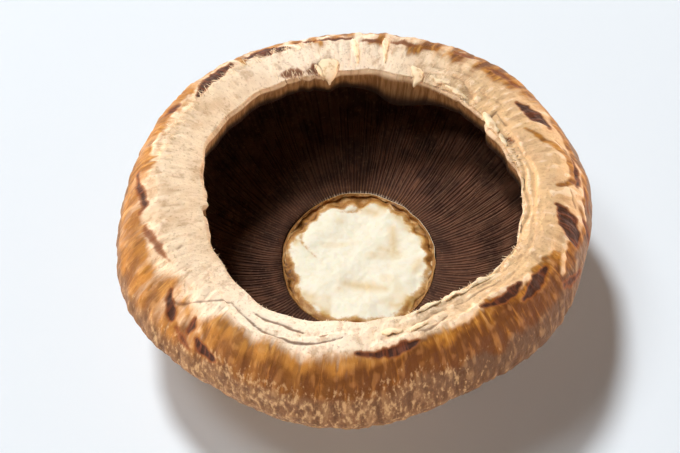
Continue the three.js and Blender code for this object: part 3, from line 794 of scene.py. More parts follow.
# %% Where the shreds lie
SHREDS = [
    # (thickness in millimetres, path)
    (0.6, [(90.5, 9.6, 0.5, -0.1), (89.8, 7.6, 0.6, 0.3), (89.2, 5.2, 0.5, 0.4), (88.6, 2.0, 0.25, 0.1)]),
    (0.6, [(80.6, 9.8, 0.5, -0.1), (80.2, 7.8, 0.7, 0.3), (79.6, 5.4, 0.5, 0.4), (79.0, 2.6, 0.25, 0.1)]),
    (1.0, [(99.6, 3.6, 2.6, -0.1), (99.8, 1.4, 2.4, 0.4),
           (100.2, -0.8, 1.5, 0.5), (100.6, -3.0, 0.3, -0.3)]),
    (0.8, [(104.5, 3.0, 0.5, 0.0), (103.8, 1.2, 0.6, 0.5), (103.0, -1.6, 0.2, 0.3)]),
    (0.9, [(69.5, 3.0, 0.5, -0.1), (67.0, 1.8, 1.3, 0.5), (65.6, 0.6, 1.5, 0.5), (66.4, -1.6, 0.4, -0.4)]),
    (0.6, [(62.0, 2.6, 0.4, 0.0), (59.0, 1.8, 0.6, 0.1), (54.0, 2.0, 0.3, 0.0)]),
    (0.5, [(55.0, 1.2, 0.3, 0.0), (50.5, 0.8, 0.6, 0.1), (45.0, 1.4, 0.3, 0.0)]),
    (1.1, [(36.0, 1.0, 0.6, 0.1), (33.4, 0.9, 1.0, 0.4), (29.0, 0.9, 1.1, 0.4), (25.4, 1.2, 0.7, 0.1)]),
    (0.5, [(24.5, 1.2, 0.4, 0.0), (21.5, 0.8, 0.6, 0.15), (18.5, 0.9, 0.3, 0.0)]),
    (0.6, [(298.0, 1.0, 0.4, 0.0), (293.5, 1.0, 0.9, 0.2), (289.0, 1.4, 0.3, 0.0)]),
    (0.6, [(308.0, 1.2, 0.4, 0.0), (303.0, 0.9, 0.8, 0.25), (299.5, 1.2, 0.4, 0.0)]),
    (0.5, [(319.0, 1.4, 0.3, 0.0), (313.0, 0.9, 0.7, 0.2), (308.5, 1.2, 0.3, 0.0)]),
    (1.0, [(283.0, 6.2, 0.4, 0.0), (280.0, 5.6, 1.1, 0.6), (277.0, 5.0, 0.5, 0.1)]),
    (0.9, [(290.5, 5.6, 0.4, 0.0), (287.5, 5.9, 0.9, 0.5), (285.0, 6.6, 0.4, 0.1)]),
]  # fmt: skip
SECTION_CORNERS = 8
SHRED_SECTIONS = 12


def shred(thickness, path, seed):
    """One closed band along a path: its corners in millimetres and its faces."""
    rough = np.random.default_rng(seed)
    share = np.linspace(0, 1, SHRED_SECTIONS)
    knots = np.linspace(0, 1, len(path))
    place, away, half, lift = (np.interp(share, knots, column) for column in zip(*path))
    taper = np.sin(mix(0.35, math.pi - 0.35, share)) ** 0.4
    half = half * rough.uniform(0.8, 1.15, SHRED_SECTIONS) * taper
    middle, over = on_skin(place, away, lift), on_skin(place, away, lift + 1.0)
    upward = over - middle
    along = np.gradient(middle, axis=0)
    across = np.cross(along, upward)
    across /= np.linalg.norm(across, axis=1, keepdims=True)
    angle = np.arange(SECTION_CORNERS) / SECTION_CORNERS * TAU
    wide = np.cos(angle)[None, :, None] * half[:, None, None] * across[:, None]
    thick = np.sin(angle)[None, :, None] * 0.5 * thickness * upward[:, None]
    unevenness = rough.uniform(-0.07, 0.07, (SHRED_SECTIONS, SECTION_CORNERS, 3))
    corners = middle[:, None] + wide + thick + unevenness
    faces = []
    for i in range(SHRED_SECTIONS - 1):
        for j in range(SECTION_CORNERS):
            k, a = (j + 1) % SECTION_CORNERS, i * SECTION_CORNERS
            faces.append([a + j, a + k, a + SECTION_CORNERS + k, a + SECTION_CORNERS + j])
    faces.append(list(range(SECTION_CORNERS))[::-1])
    faces.append([(SHRED_SECTIONS - 1) * SECTION_CORNERS + j for j in range(SECTION_CORNERS)])
    return corners.reshape(-1, 3), faces


# %% All shreds as one piece
corners, faces = [], []
for number, (thickness, path) in enumerate(SHREDS):
    new_corners, new_faces = shred(thickness, path, 300 + number)
    start = sum(len(part) for part in corners)
    faces += [[start + corner for corner in face] for face in new_faces]
    corners.append(new_corners)
corners = np.clip(np.concatenate(corners), low, high)
shred_mesh = bpy.data.meshes.new("veil_shreds")
shred_mesh.from_pydata((corners * MM).tolist(), [], faces)
shred_mesh.shade_smooth()
shreds = add_piece("veil_shreds", shred_mesh)
print("shreds:", len(SHREDS), "bands,", len(faces), "faces")

# %% Material: dried veil, pale cream with brown in its folds
veil, shader = new_material("dried_veil")
coordinates = add_node(shader, "ShaderNodeTexCoord").outputs["Object"]
links = {"Vector": coordinates, "Scale": 1 / (1.3 * MM), "Detail": 3.0, "Roughness": 0.6}
veil_grain = add_node(shader, "ShaderNodeTexNoise", links)
pale = paint(shader, srgb("#EDD8B6"), [
    (veil_grain, 0.5, 0.3, 0.7, "#C09A6A"),
    (veil_grain, 0.58, 0.75, 0.5, "#FAEAD0"),
])
bump = add_node(shader, "ShaderNodeBump", {"Height": veil_grain, "Strength": 0.5, "Distance": 0.3 * MM})
links = {"Base Color": pale, "Roughness": 0.65, "Specular IOR Level": 0.3, "Normal": bump}
links |= {"Subsurface Weight": 0.15, "Subsurface Radius": (1.0, 0.6, 0.3), "Subsurface Scale": 1.0 * MM}
surface = add_node(shader, "ShaderNodeBsdfPrincipled", links)
add_node(shader, "ShaderNodeOutputMaterial", {"Surface": surface})
shreds.data.materials.append(veil)
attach(shreds, "root")

# %% [markdown]
# ## Torn fibres
#
# Wherever the veil tore, fine fibres stand out of the edge. There are hundreds, and they differ only in
# place, direction, length and thickness. So each is a point that carries those values, and Geometry
# Nodes put a thin cone on it.


# %% Tools for Geometry Nodes
def new_geometry_tree(name, inputs):
    """A Geometry Nodes tree with a geometry in and out and named inputs with default values."""
    made = bpy.data.node_groups.new(name, "GeometryNodeTree")
    made.interface.new_socket("Geometry", in_out="INPUT", socket_type="NodeSocketGeometry")
    for label, value in inputs.items():
        kind = "NodeSocketInt" if isinstance(value, int) else "NodeSocketFloat"
        made.interface.new_socket(label, in_out="INPUT", socket_type=kind).default_value = value
    made.interface.new_socket("Geometry", in_out="OUTPUT", socket_type="NodeSocketGeometry")
    return made, add_node(made, "NodeGroupInput")


def finish_geometry(tree, geometry, material):
    """Realizes the instances, smooths them, gives them their material and leads them out."""
    real = add_node(tree, "GeometryNodeRealizeInstances", {"Geometry": geometry})
    soft = add_node(tree, "GeometryNodeSetShadeSmooth", {"Geometry": real})
    real = add_node(tree, "GeometryNodeRealizeInstances", {"Geometry": soft})
    painted = add_node(tree, "GeometryNodeSetMaterial", {"Geometry": real, "Material": material})
    add_node(tree, "NodeGroupOutput", {"Geometry": painted})


def plain_mesh(piece, tree, values):
    """Runs a tree on a piece with named values, keeps the result as its mesh and drops the modifier."""
    modifier = piece.modifiers.new(tree.name, "NODES")
    modifier.node_group = tree
    for item in tree.interface.items_tree:
        if item.in_out == "INPUT" and item.name in values:
            modifier[item.identifier] = values[item.name]
    evaluated = piece.evaluated_get(bpy.context.evaluated_depsgraph_get())
    made = bpy.data.meshes.new_from_object(evaluated)
    piece.modifiers.remove(modifier)
    piece.data = made
    print(piece.name + ":", len(made.polygons), "faces")


# %% Where the fibres stand
# (how many, degrees from and to, mm from the lip from and to, length, way along the skin, tone)
# The way is 1 outwards, -1 inwards; the tone is 1 for pale fibres and 0 for brown ones.
FIBRE_PLACES = [
    (40, (98, 124), (0.6, 4.0), (1.0, 2.2), -1, 0.8),
    (25, (99, 119), (0.4, 2.4), (0.8, 1.8), -1, 0.2),
    (200, (104, 172), (7.0, 9.6), (1.0, 2.4), 1, 0.95),
    (110, (34, 66), (0.5, 6.0), (0.8, 1.8), -1, 0.7),
    (80, (280, 335), (0.3, 2.4), (0.6, 1.4), -1, 0.8),
    (60, (8, 24), (0.3, 3.0), (0.7, 1.4), -1, 0.6),
    (140, (0, 360), (0.2, 0.9), (0.4, 0.9), -1, 0.8),
]
rng = np.random.default_rng(17)
starts, ways, fibre_length, fibre_thick, tones = [], [], [], [], []
for count, (first, last), (near, far), (short, long), way, tone in FIBRE_PLACES:
    place, away = rng.uniform(first, last, count), rng.uniform(near, far, count)
    root = on_skin(place, away, np.full(count, -0.05))
    ahead = on_skin(place + rng.normal(0, 0.7, count), away + way, rng.uniform(-0.02, 0.14, count))
    starts.append(root)
    ways.append((ahead - root) / np.linalg.norm(ahead - root, axis=1, keepdims=True))
    fibre_length.append(rng.uniform(short, long, count))
    fibre_thick.append(rng.uniform(0.05, 0.12, count))
    tones.append(np.clip(rng.normal(tone, 0.2, count), 0, 1))
starts = np.clip(np.concatenate(starts), low + 0.6, high - 0.6)

fibre_points = bpy.data.meshes.new("fibre_roots")
fibre_points.from_pydata((starts * MM).tolist(), [], [])
store(fibre_points, "way", np.concatenate(ways))
store(fibre_points, "length", np.concatenate(fibre_length) * MM)
store(fibre_points, "thickness", np.concatenate(fibre_thick) * MM)
store(fibre_points, "tone", np.concatenate(tones))
fibres = add_piece("torn_fibres", fibre_points)

# %% Material: torn fibres, each its own tone from brown to cream
fibre_look, shader = new_material("torn_fibre")
tone = add_node(shader, "ShaderNodeAttribute", attribute_name="tone")
fibre_colour = paint(shader, srgb("#7A4A22"), [(tone, 0.1, 0.9, 1.0, "#F3DDB8")])
links = {"Base Color": fibre_colour, "Roughness": 0.6, "Specular IOR Level": 0.3}
surface = add_node(shader, "ShaderNodeBsdfPrincipled", links)
add_node(shader, "ShaderNodeOutputMaterial", {"Surface": surface})

# %% A cone on each point
tree, given = new_geometry_tree("torn_fibres", {"Sides": 5, "Rings": 2, "Tip width": 0.25})
links = {"Vertices": given.outputs["Sides"], "Side Segments": given.outputs["Rings"]}
links |= {"Radius Top": given.outputs["Tip width"], "Radius Bottom": 1.0, "Depth": 1.0}
cone = add_node(tree, "GeometryNodeMeshCone", links)
way = add_node(tree, "GeometryNodeInputNamedAttribute", {"Name": "way"}, data_type="FLOAT_VECTOR")
turned = add_node(tree, "FunctionNodeAlignRotationToVector", {"Vector": way}, axis="Z")
sizes = {}
for name in ("thickness", "length"):
    sizes[name] = add_node(tree, "GeometryNodeInputNamedAttribute", {"Name": name}, data_type="FLOAT")
links = {0: sizes["thickness"], 1: sizes["thickness"], 2: sizes["length"]}
scale = add_node(tree, "ShaderNodeCombineXYZ", links)
links = {"Points": given.outputs["Geometry"], "Instance": cone, "Rotation": turned, "Scale": scale}
finish_geometry(tree, add_node(tree, "GeometryNodeInstanceOnPoints", links), fibre_look)
plain_mesh(fibres, tree, {"Sides": 5, "Rings": 2, "Tip width": 0.25})
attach(fibres, "root")

# %% [markdown]
# ## The gills
#
# Gills are hundreds of thin blades that hang from the flesh round the stem. Every one starts somewhere:
# the long ones at the collar, shorter ones between them further out, so that they stay about as close
# together all the way. Geometry Nodes place one blade on each root and bend it to the bowl, because
# the blades differ only in where they start and how they wander.

# %% Roots of the gills
rng = np.random.default_rng(5)
LONG_GILLS = 190


def gill_tier(count, offset, start, spread):
    """Angles and starting places of one length of gill, evenly spaced and a little uneven."""
    around = (np.arange(count) + offset + rng.uniform(-0.12, 0.12, count)) / count * TAU
    return around, np.clip(start + rng.uniform(-spread, spread, count), 0, 0.9)


tiers = [
    gill_tier(LONG_GILLS, 0, 0.0, 0.0),
    gill_tier(LONG_GILLS // 2, 0.25, 0.16, 0.08),
    gill_tier(LONG_GILLS // 2, 0.75, 0.34, 0.1),
    gill_tier(2 * LONG_GILLS, 0.5, 0.58, 0.14),
]
gill_around = np.concatenate([tier[0] for tier in tiers])
gill_start = np.concatenate([tier[1] for tier in tiers])
print("gills:", len(gill_around))

roots = bpy.data.meshes.new("gill_roots")
roots.from_pydata(np.zeros((len(gill_around), 3)).tolist(), [], [])
store(roots, "around", gill_around)
store(roots, "start", gill_start)
store(roots, "inner", (collar_radius(gill_around) + 0.1) * MM)
store(roots, "outer", (cap_radius(gill_around) - GILL_WALL_INSET) * MM)
store(roots, "chance", rng.uniform(0, 1, len(gill_around)))
store(roots, "pale", zone(82, 40, gill_around) * rng.uniform(0.4, 1, len(gill_around)))
blades = add_piece("gill_blades", roots)

# %% [markdown]
# The tree below draws one blade as a thin six-sided bar. Its length runs from the root outwards, and its
# section has a flat bottom in the bed and a narrow edge on top. Each point then finds its radius, height
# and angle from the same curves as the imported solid. The sums are in a table, one node for each row.


# %% The blade before it is bent
GAP_AT_COLLAR = 0.36  # crowded gills lean together, so the gaps between them are only this deep, in mm
GAP_AT_MARGIN = 0.7
gill_inputs = {
    "Gap at collar": GAP_AT_COLLAR * MM,
    "Gap at margin": GAP_AT_MARGIN * MM,
    "Extra at collar": 0.06 * MM,
    "Thickness at margin": 0.4 * MM,
    "Steps along": 12,
    "Edge at collar": GILL_EDGE_Z[0] * MM,
    "Edge at margin": GILL_EDGE_Z[1] * MM,
    "Edge power": GILL_EDGE_POWER,
    "Wander": 1.8 * MM,
}
tree, given = new_geometry_tree("gill_blades", gill_inputs)
steps = given.outputs["Steps along"]
links = {"Vertices": 6, "Side Segments": steps, "Radius": 1.0, "Depth": 1.0}
bar = add_node(tree, "GeometryNodeMeshCylinder", links)
place = add_node(tree, "ShaderNodeSeparateXYZ", {0: add_node(tree, "GeometryNodeInputPosition")})
geometry = bar.outputs["Mesh"]
for name, output in (("side", "X"), ("upright", "Y"), ("along", "Z")):
    links = {"Geometry": geometry, "Name": name, "Value": place.outputs[output]}
    geometry = add_node(tree, "GeometryNodeStoreNamedAttribute", links, data_type="FLOAT")
links = {"Points": given.outputs["Geometry"], "Instance": geometry}
geometry = add_node(tree, "GeometryNodeInstanceOnPoints", links)
geometry = add_node(tree, "GeometryNodeRealizeInstances", {"Geometry": geometry})

# %% The blade's sums
BAR_TO_ONE = 0.5774  # a six-sided bar of radius 1 is 1.73 high, and this makes it 1
values = {name: given.outputs[name] for name in gill_inputs}
for name in ("side", "upright", "along", "start", "inner", "outer", "around", "chance"):
    values[name] = add_node(tree, "GeometryNodeInputNamedAttribute", {"Name": name}, data_type="FLOAT")


def work_out(tree, values, rows):
    """Adds a Math node for each row: (name of the result, operation, first value, second value)."""
    for name, operation, first, second in rows:
        links = {0: values.get(first, first), 1: values.get(second, second)}
        values[name] = add_node(tree, "ShaderNodeMath", links, operation=operation)


work_out(tree, values, [
    ("from root", "ADD", "along", 0.5),
    ("room", "SUBTRACT", 1.0, "start"),
    ("reach", "MULTIPLY", "room", "from root"),
    ("t", "ADD", "start", "reach"),
    ("span", "SUBTRACT", "outer", "inner"),
    ("outwards", "MULTIPLY", "span", "t"),
    ("radius", "ADD", "inner", "outwards"),
    ("cosine", "COSINE", "around", 0.0),
    ("sine", "SINE", "around", 0.0),
    ("x before", "MULTIPLY", "radius", "cosine"),
    ("y before", "MULTIPLY", "radius", "sine"),
    # Each blade reads the noises at its own height, up to 4 mm, so that no two wave alike.
    ("own wave", "MULTIPLY", "chance", 4 * MM),
])
links = {0: values["x before"], 1: values["y before"], 2: values["own wave"]}
before = add_node(tree, "ShaderNodeCombineXYZ", links)
for name, size in (("lean", 7.0), ("ripple", 4.5), ("uneven", 3.4)):
    links = {"Vector": before, "Scale": 1 / (size * MM), "Detail": 1.0}
    values[name] = add_node(tree, "ShaderNodeTexNoise", links)
# A short gill rises from the bed over the first tenth of the way.
links = {"Value": values["reach"], "From Max": 0.1, "To Min": 0.0, "To Max": 1.0}
values["rising"] = add_node(tree, "ShaderNodeMapRange", links, interpolation_type="SMOOTHSTEP")
work_out(tree, values, [
    ("edge climb", "SUBTRACT", "Edge at margin", "Edge at collar"),
    ("edge share", "POWER", "t", "Edge power"),
    ("edge rise", "MULTIPLY", "edge climb", "edge share"),
    ("edge", "ADD", "Edge at collar", "edge rise"),
    ("gap growth", "SUBTRACT", "Gap at margin", "Gap at collar"),
    ("gap grown", "MULTIPLY", "gap growth", "t"),
    ("depth", "ADD", "Gap at collar", "gap grown"),
    ("bed", "SUBTRACT", "edge", "depth"),
    ("is long", "LESS_THAN", "start", 0.001),
    ("ramp", "MAXIMUM", "is long", "rising"),
    # Blades stand to between two thirds of the gap's depth and all of it, and long ones start full.
    ("uneven part", "MULTIPLY", "uneven", 0.5),
    ("tall", "ADD", "uneven part", 0.68),
    ("at most", "MINIMUM", "tall", 1.0),
    ("blade height", "MULTIPLY", "depth", "at most"),
    ("ramped height", "MULTIPLY", "blade height", "ramp"),
    ("section", "MULTIPLY", "upright", BAR_TO_ONE),
    ("raised", "ADD", "section", 0.5),
    ("lifted", "MULTIPLY", "ramped height", "raised"),
    ("over bed", "ADD", "bed", "lifted"),
    ("z", "SUBTRACT", "over bed", 0.15 * MM),
    # They lean and ripple where they are free, most at the edge, and are held straight at the collar.
    ("lean middle", "SUBTRACT", "lean", 0.5),
    ("ripple middle", "SUBTRACT", "ripple", 0.5),
    ("ripple part", "MULTIPLY", "ripple middle", 0.35),
    ("both waves", "ADD", "lean middle", "ripple part"),
    ("to collar", "SUBTRACT", 1.0, "t"),
    ("held", "POWER", "to collar", 4.0),
    ("free", "SUBTRACT", 1.0, "held"),
    ("wave", "MULTIPLY", "both waves", "free"),
    ("upper wave", "MULTIPLY", "wave", "raised"),
    ("drift", "MULTIPLY", "upper wave", "Wander"),
    ("extra", "MULTIPLY", "Extra at collar", "held"),
    ("thickness", "ADD", "Thickness at margin", "extra"),
    ("half", "MULTIPLY", "thickness", 0.5),
    ("sideways", "MULTIPLY", "side", "half"),
    ("off line", "ADD", "sideways", "drift"),
    ("turn", "DIVIDE", "off line", "radius"),
    ("angle", "ADD", "around", "turn"),
    ("turned cosine", "COSINE", "angle", 0.0),
    ("turned sine", "SINE", "angle", 0.0),
    ("x from axis", "MULTIPLY", "radius", "turned cosine"),
    ("y from axis", "MULTIPLY", "radius", "turned sine"),
    ("x", "ADD", "x from axis", AXIS[0] * MM),
    ("y", "ADD", "y from axis", AXIS[1] * MM),
])
where = add_node(tree, "ShaderNodeCombineXYZ", {0: values["x"], 1: values["y"], 2: values["z"]})
# The height within each blade goes to the material, which darkens the blade towards the bed: painted shade
# in the gaps, with paler edges.
for name, value in (("outward", values["t"]), ("pale_edge_and_gap_shade", values["raised"])):
    links = {"Geometry": geometry, "Name": name, "Value": value}
    geometry = add_node(tree, "GeometryNodeStoreNamedAttribute", links, data_type="FLOAT")
moved = add_node(tree, "GeometryNodeSetPosition", {"Geometry": geometry, "Position": where})

# %% [markdown]
# ## Gill tissue
#
# Ripe gills are a dark chocolate brown from their spores, with a reddish cast in some places and almost
# black in others. On the far side their inner ends are paler where they join the collar. The tissue is
# matt and takes in most of the light, and a little sheen gives it the look of velvet.

# %% Material: gill tissue
gill_tissue, shader = new_material("gill_tissue")
coordinates = add_node(shader, "ShaderNodeTexCoord").outputs["Object"]
gill_noises = []
for size, detail in ((9.0, 3), (4.0, 3), (0.8, 2)):
    links = {"Vector": coordinates, "Scale": 1 / (size * MM), "Detail": detail, "Roughness": 0.6}
    gill_noises.append(add_node(shader, "ShaderNodeTexNoise", links))
outward = add_node(shader, "ShaderNodeAttribute", attribute_name="outward")
chance = add_node(shader, "ShaderNodeAttribute", attribute_name="chance")
pale_edge_and_gap_shade = add_node(shader, "ShaderNodeAttribute", attribute_name="pale_edge_and_gap_shade")
pale = add_node(shader, "ShaderNodeAttribute", attribute_name="pale")
pale_masks = []
for reach in (0.16, 0.03):
    links = {"Value": outward, "From Min": reach, "From Max": 0.0}
    links = {0: add_node(shader, "ShaderNodeMapRange", links), 1: pale}
    pale_masks.append(add_node(shader, "ShaderNodeMath", links, operation="MULTIPLY"))
pale_run, pale_end = pale_masks
brown = paint(shader, srgb("#6C4836"), [
    (gill_noises[0], 0.4, 0.62, 0.75, "#3E281F"),
    (gill_noises[1], 0.48, 0.7, 0.5, "#80543E"),
    (gill_noises[1], 0.47, 0.28, 0.5, "#38241C"),
    (chance, 0.5, 1.0, 0.3, "#7A5B46"),
    (gill_noises[2], 0.54, 0.72, 0.5, "#8E6A52"),
    (pale_run, 0.0, 1.0, 0.6, "#8F5F38"),
    (pale_end, 0.0, 1.0, 0.9, "#D8C2AE"),
    # darker towards the bed: painted shade in the gaps between blades, so the edges stay paler
    (pale_edge_and_gap_shade, 0.5, 0.0, 0.6, "#38211A"),
])
links = {"Base Color": brown, "Roughness": 0.85, "Specular IOR Level": 0.2}
links |= {"Sheen Weight": 0.15, "Sheen Roughness": 0.5, "Sheen Tint": srgb("#C08A66")}
surface = add_node(shader, "ShaderNodeBsdfPrincipled", links)
add_node(shader, "ShaderNodeOutputMaterial", {"Surface": surface})

finish_geometry(tree, moved, gill_tissue)
plain_mesh(blades, tree, gill_inputs)


# %% The bed that the blades stand on
def ring_mesh(name, points):
    """A closed ring: points is (meridians, stations, 3) in millimetres, and the stations join up too."""
    around, rows, _ = points.shape
    column, row = np.meshgrid(np.arange(around), np.arange(rows), indexing="ij")
    next_column, next_row = (column + 1) % around, (row + 1) % rows
    corner = [column * rows + row, column * rows + next_row]
    corner += [next_column * rows + next_row, next_column * rows + row]
    mesh = bpy.data.meshes.new(name)
    faces = np.stack(corner, -1).reshape(-1, 4)
    mesh.from_pydata((points.reshape(-1, 3) * MM).tolist(), [], faces.tolist())
    mesh.shade_smooth()
    return add_piece(name, mesh)


BED_MERIDIANS = 240
bed_theta = (np.arange(BED_MERIDIANS) / BED_MERIDIANS * TAU)[:, None]
bed_rings = []
for t in np.linspace(0, 1, 24):
    gap = mix(GAP_AT_COLLAR, GAP_AT_MARGIN, t)
    reach = mix(collar_radius(bed_theta) + 0.3, cap_radius(bed_theta) - GILL_WALL_INSET, t)
    bed_rings.append((reach, mix(*GILL_EDGE_Z, t**GILL_EDGE_POWER) - gap + 0.1 + 0 * bed_theta))
bed_rings += [below_bed(bed_theta, t, 0.85) for t in np.linspace(1, 0, 8)]
bed_r = np.concatenate([ring[0] for ring in bed_rings], 1)
bed_z = np.concatenate([ring[1] for ring in bed_rings], 1)
bed_points = np.stack([bed_r * np.cos(bed_theta), bed_r * np.sin(bed_theta), bed_z], -1) + AXIS
gill_bed = ring_mesh("gill_bed", bed_points)
# The bed carries no blade height, so its material paints it with the full painted shade of the gaps.
gill_bed.data.materials.append(gill_tissue)
print("bed:", len(gill_bed.data.polygons), "faces")
for piece in (blades, gill_bed):
    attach(piece, "root")
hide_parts("gills")

# %% [markdown]
# ## The stub of the stem
#
# The stem was snapped off by hand, so its scar is a soft white face with torn bites at its edge. A brown
# groove shows in the bites, and outside that stands the collar, a thin rim that the long gills reach.
# The rim stands clear and pale on one side, and is lower and brown on the other.

# %% The scar's outline
STUB_MERIDIANS = 400
SCAR_Z = 10.4
MOAT_DEPTH = 1.0
STUB_FLOOR_Z = 7.0
# Bites out of the scar's edge: (place in degrees, half width in degrees, share of the collar's radius).
SCAR_BITES = [(8, 5, 0.05), (27, 6, 0.11), (39, 4, 0.07), (53, 6, 0.06), (84, 8, 0.16), (101, 7, 0.12),
              (116, 6, 0.06), (131, 8, 0.13), (145, 7, 0.11), (160, 6, 0.04), (178, 7, 0.03),
              (192, 6, 0.03), (207, 7, 0.1), (219, 5, 0.05), (318, 5, 0.05), (340, 6, 0.03),
              (354, 4, 0.05)]  # fmt: skip
stub_theta = (np.arange(STUB_MERIDIANS) / STUB_MERIDIANS * TAU)[:, None]
collar = collar_radius(stub_theta)
ragged = 0.98 - bumps(SCAR_BITES, stub_theta)
ragged = ragged + 0.04 * (cap_noise(stub_theta, 0, 3.4, 9, seed=81, radius=17) - 0.5)
ragged = ragged + 0.016 * (cap_noise(stub_theta, 0, 1.2, 9, seed=82, radius=17) - 0.5)
ragged = np.minimum(ragged, 0.985)

scar_shares = np.linspace(1, 0.02, 54)[None, :]
scar_r = ragged * collar * scar_shares
scar_x, scar_y = scar_r * np.cos(stub_theta), scar_r * np.sin(stub_theta)


# %% The scar's relief and its creases
def flat_noise(x, y, size, seed):
    """0 to 1 over a flat surface, in round cells of a size in millimetres."""
    heights = np.random.default_rng(seed).random((200, 200))
    u, v = x / size + 100, y / size + 100
    column, row = np.floor(u).astype(int), np.floor(v).astype(int)
    right, up = smooth(u - column), smooth(v - row)
    low = mix(heights[row, column], heights[row, column + 1], right)
    high = mix(heights[row + 1, column], heights[row + 1, column + 1], right)
    return mix(low, high, up)


def flat_path(x, y, path, soft):
    """How much a path of (x, y, half width) in millimetres covers each point of a flat surface."""
    best = np.zeros(np.broadcast_shapes(x.shape, y.shape))
    for (x_a, y_a, w_a), (x_b, y_b, w_b) in zip(path, path[1:]):
        run, rise = x_b - x_a, y_b - y_a
        t = np.clip(((x - x_a) * run + (y - y_a) * rise) / (run**2 + rise**2), 0, 1)
        away = np.hypot(x - x_a - t * run, y - y_a - t * rise)
        best = np.maximum(best, smooth((mix(w_a, w_b, t) - away) / soft + 0.5))
    return best


# Paths over the scar: each point is (x, y, half width) in millimetres from the cap's axis.
SCAR_CREASES = [
    [(-12.6, 8.6, 0.9), (-12.3, 6.4, 0.7), (-11.8, 2.9, 0.3), (-10.4, 1.4, 0.2), (-8.4, -0.8, 0.2)],
    [(-3.8, 13.0, 0.2), (-1.6, 12.9, 0.4), (0.4, 13.2, 0.7), (1.8, 14.6, 0.5)],
]
SCAR_STAINS = [
    [(8.7, 7.8, 0.6), (8.9, 4.3, 0.9), (8.6, 0.0, 0.6)],
    [(-2.1, -7.9, 0.6), (3.0, -8.6, 1.2), (6.8, -9.4, 0.5)],
    [(-11.2, -11.0, 0.8), (-9.6, -11.6, 0.8)],
    [(8.0, -13.6, 0.7), (9.4, -14.0, 0.8)],
    [(6.0, 2.0, 0.5), (9.6, 0.8, 0.6)],
    [(12.6, 7.6, 0.8), (11.0, 9.8, 0.7), (9.4, 12.0, 0.9)],
    [(5.0, 12.4, 0.9), (2.0, 13.6, 0.7)],
    [(14.6, -1.6, 0.6), (13.4, -4.0, 0.6)],
]
creases = np.max([flat_path(scar_x, scar_y, path, 1.4) for path in SCAR_CREASES], 0)
stains = 0.8 * np.max([flat_path(scar_x, scar_y, path, 5.0) for path in SCAR_STAINS], 0)

coarse = np.sin(0.42 * scar_x + 0.9) * np.cos(0.37 * scar_y - 0.4)
lumps = 0.35 * coarse + 0.35 * (flat_noise(scar_x, scar_y, 4.5, 83) - 0.5)
rough = 0.22 * (flat_noise(scar_x, scar_y, 1.7, 84) - 0.5)
rough = rough + 0.12 * (flat_noise(scar_x, scar_y, 0.8, 85) - 0.5)
near_edge = smooth((scar_shares - 0.8) / 0.18)
rough = rough + near_edge * 0.5 * (flat_noise(scar_x, scar_y, 1.5, 86) - 0.5)
scar_z = SCAR_Z + lumps * smooth((1 - scar_shares) * 6 + 0.35) + rough - 0.2 * creases
scar_z = scar_z - 0.45 * smooth((scar_shares - 0.9) / 0.1) ** 2

# %% The collar and the groove
clear_side = zone(50, 66, stub_theta, 6)
rim_height = mix(-0.25, 0.15, clear_side) + 0.2 * bumps([(20, 40, 1.0)], stub_theta)
rim_height = rim_height + 0.3 * (cap_noise(stub_theta, 0, 4, 9, seed=88, radius=18) - 0.5)
rim_z = SCAR_Z + rim_height
rim_r = collar + 0.3 * (cap_noise(stub_theta, 0, 2.2, 9, seed=87, radius=18) - 0.5)
floor_z = SCAR_Z - MOAT_DEPTH + 0.7 * cap_noise(stub_theta, 0, 1.6, 9, seed=91, radius=17)
outer_foot = rim_r - 0.35
inner_foot = np.minimum(ragged * collar + 0.05, outer_foot - 0.02)
wall_steps = np.linspace(0.15, 0.85, 6)[None, :]
wall_lumps = cap_noise(stub_theta, 9 * wall_steps, 1.1, 2.4, seed=92, radius=18)
wall_lumps = wall_lumps * np.sin(wall_steps * math.pi)
wall_r = mix(rim_r - 0.2, outer_foot, wall_steps) - 0.7 * wall_lumps
wall_r = np.maximum(wall_r, inner_foot - 0.6)
wall_z = mix(rim_z - 0.12, floor_z, wall_steps)
stub_one = np.ones_like(stub_theta)
stub_r = [9 * stub_one, collar - 0.8, collar - 0.2, rim_r, rim_r - 0.04, rim_r - 0.12, rim_r - 0.2]
stub_z = [STUB_FLOOR_Z, STUB_FLOOR_Z, STUB_FLOOR_Z + 0.4, rim_z - 0.8, rim_z - 0.1, rim_z, rim_z - 0.12]
stub_z = [z * stub_one for z in stub_z]
wall_starts = len(stub_r)
stub_r = np.concatenate([*stub_r, wall_r, outer_foot, inner_foot, scar_r], 1)
stub_z = np.concatenate([*stub_z, wall_z, floor_z * stub_one, floor_z * stub_one, scar_z], 1)
stub_points = np.stack([stub_r * np.cos(stub_theta), stub_r * np.sin(stub_theta), stub_z], -1) + AXIS

# %% Masks of the stub
scar_starts = stub_r.shape[1] - scar_r.shape[1]
moat = np.zeros(stub_r.shape)
moat[:, 1 : wall_starts - 1] = mix(1.0, 0.15, clear_side)
moat[:, wall_starts - 1] = 0.8
down_wall = 2.0 * np.arange(scar_starts - wall_starts)
moat[:, wall_starts:scar_starts] = 0.35 + 0.8 * cap_noise(stub_theta, down_wall, 1.5, 3.0, 93, 18)
edge_brown = 0.25 + 1.0 * cap_noise(stub_theta, 18 * scar_shares, 2.2, 1.4, 89, 17)
edge_brown = smooth((scar_shares - 0.85) / 0.13) * edge_brown
moat[:, scar_starts:] = np.maximum(np.minimum(edge_brown, 0.95), 0.4 * creases)
yellowed = np.zeros(stub_r.shape)
patches = smooth((flat_noise(scar_x, scar_y, 3.2, 90) - 0.55) / 0.3)
yellowed[:, scar_starts:] = np.maximum(0.35 * patches, stains) + 0.8 * near_edge * patches
stub = closed_mesh("stem_scar", stub_points, {"moat": moat, "yellowed": yellowed})
print("stub:", len(stub.data.polygons), "faces")

# %% [markdown]
# ## Broken flesh
#
# Fresh mushroom flesh is almost white and soft to light, so a little of it passes through the surface.
# It yellows in patches and turns tan brown where it has dried, in the groove.

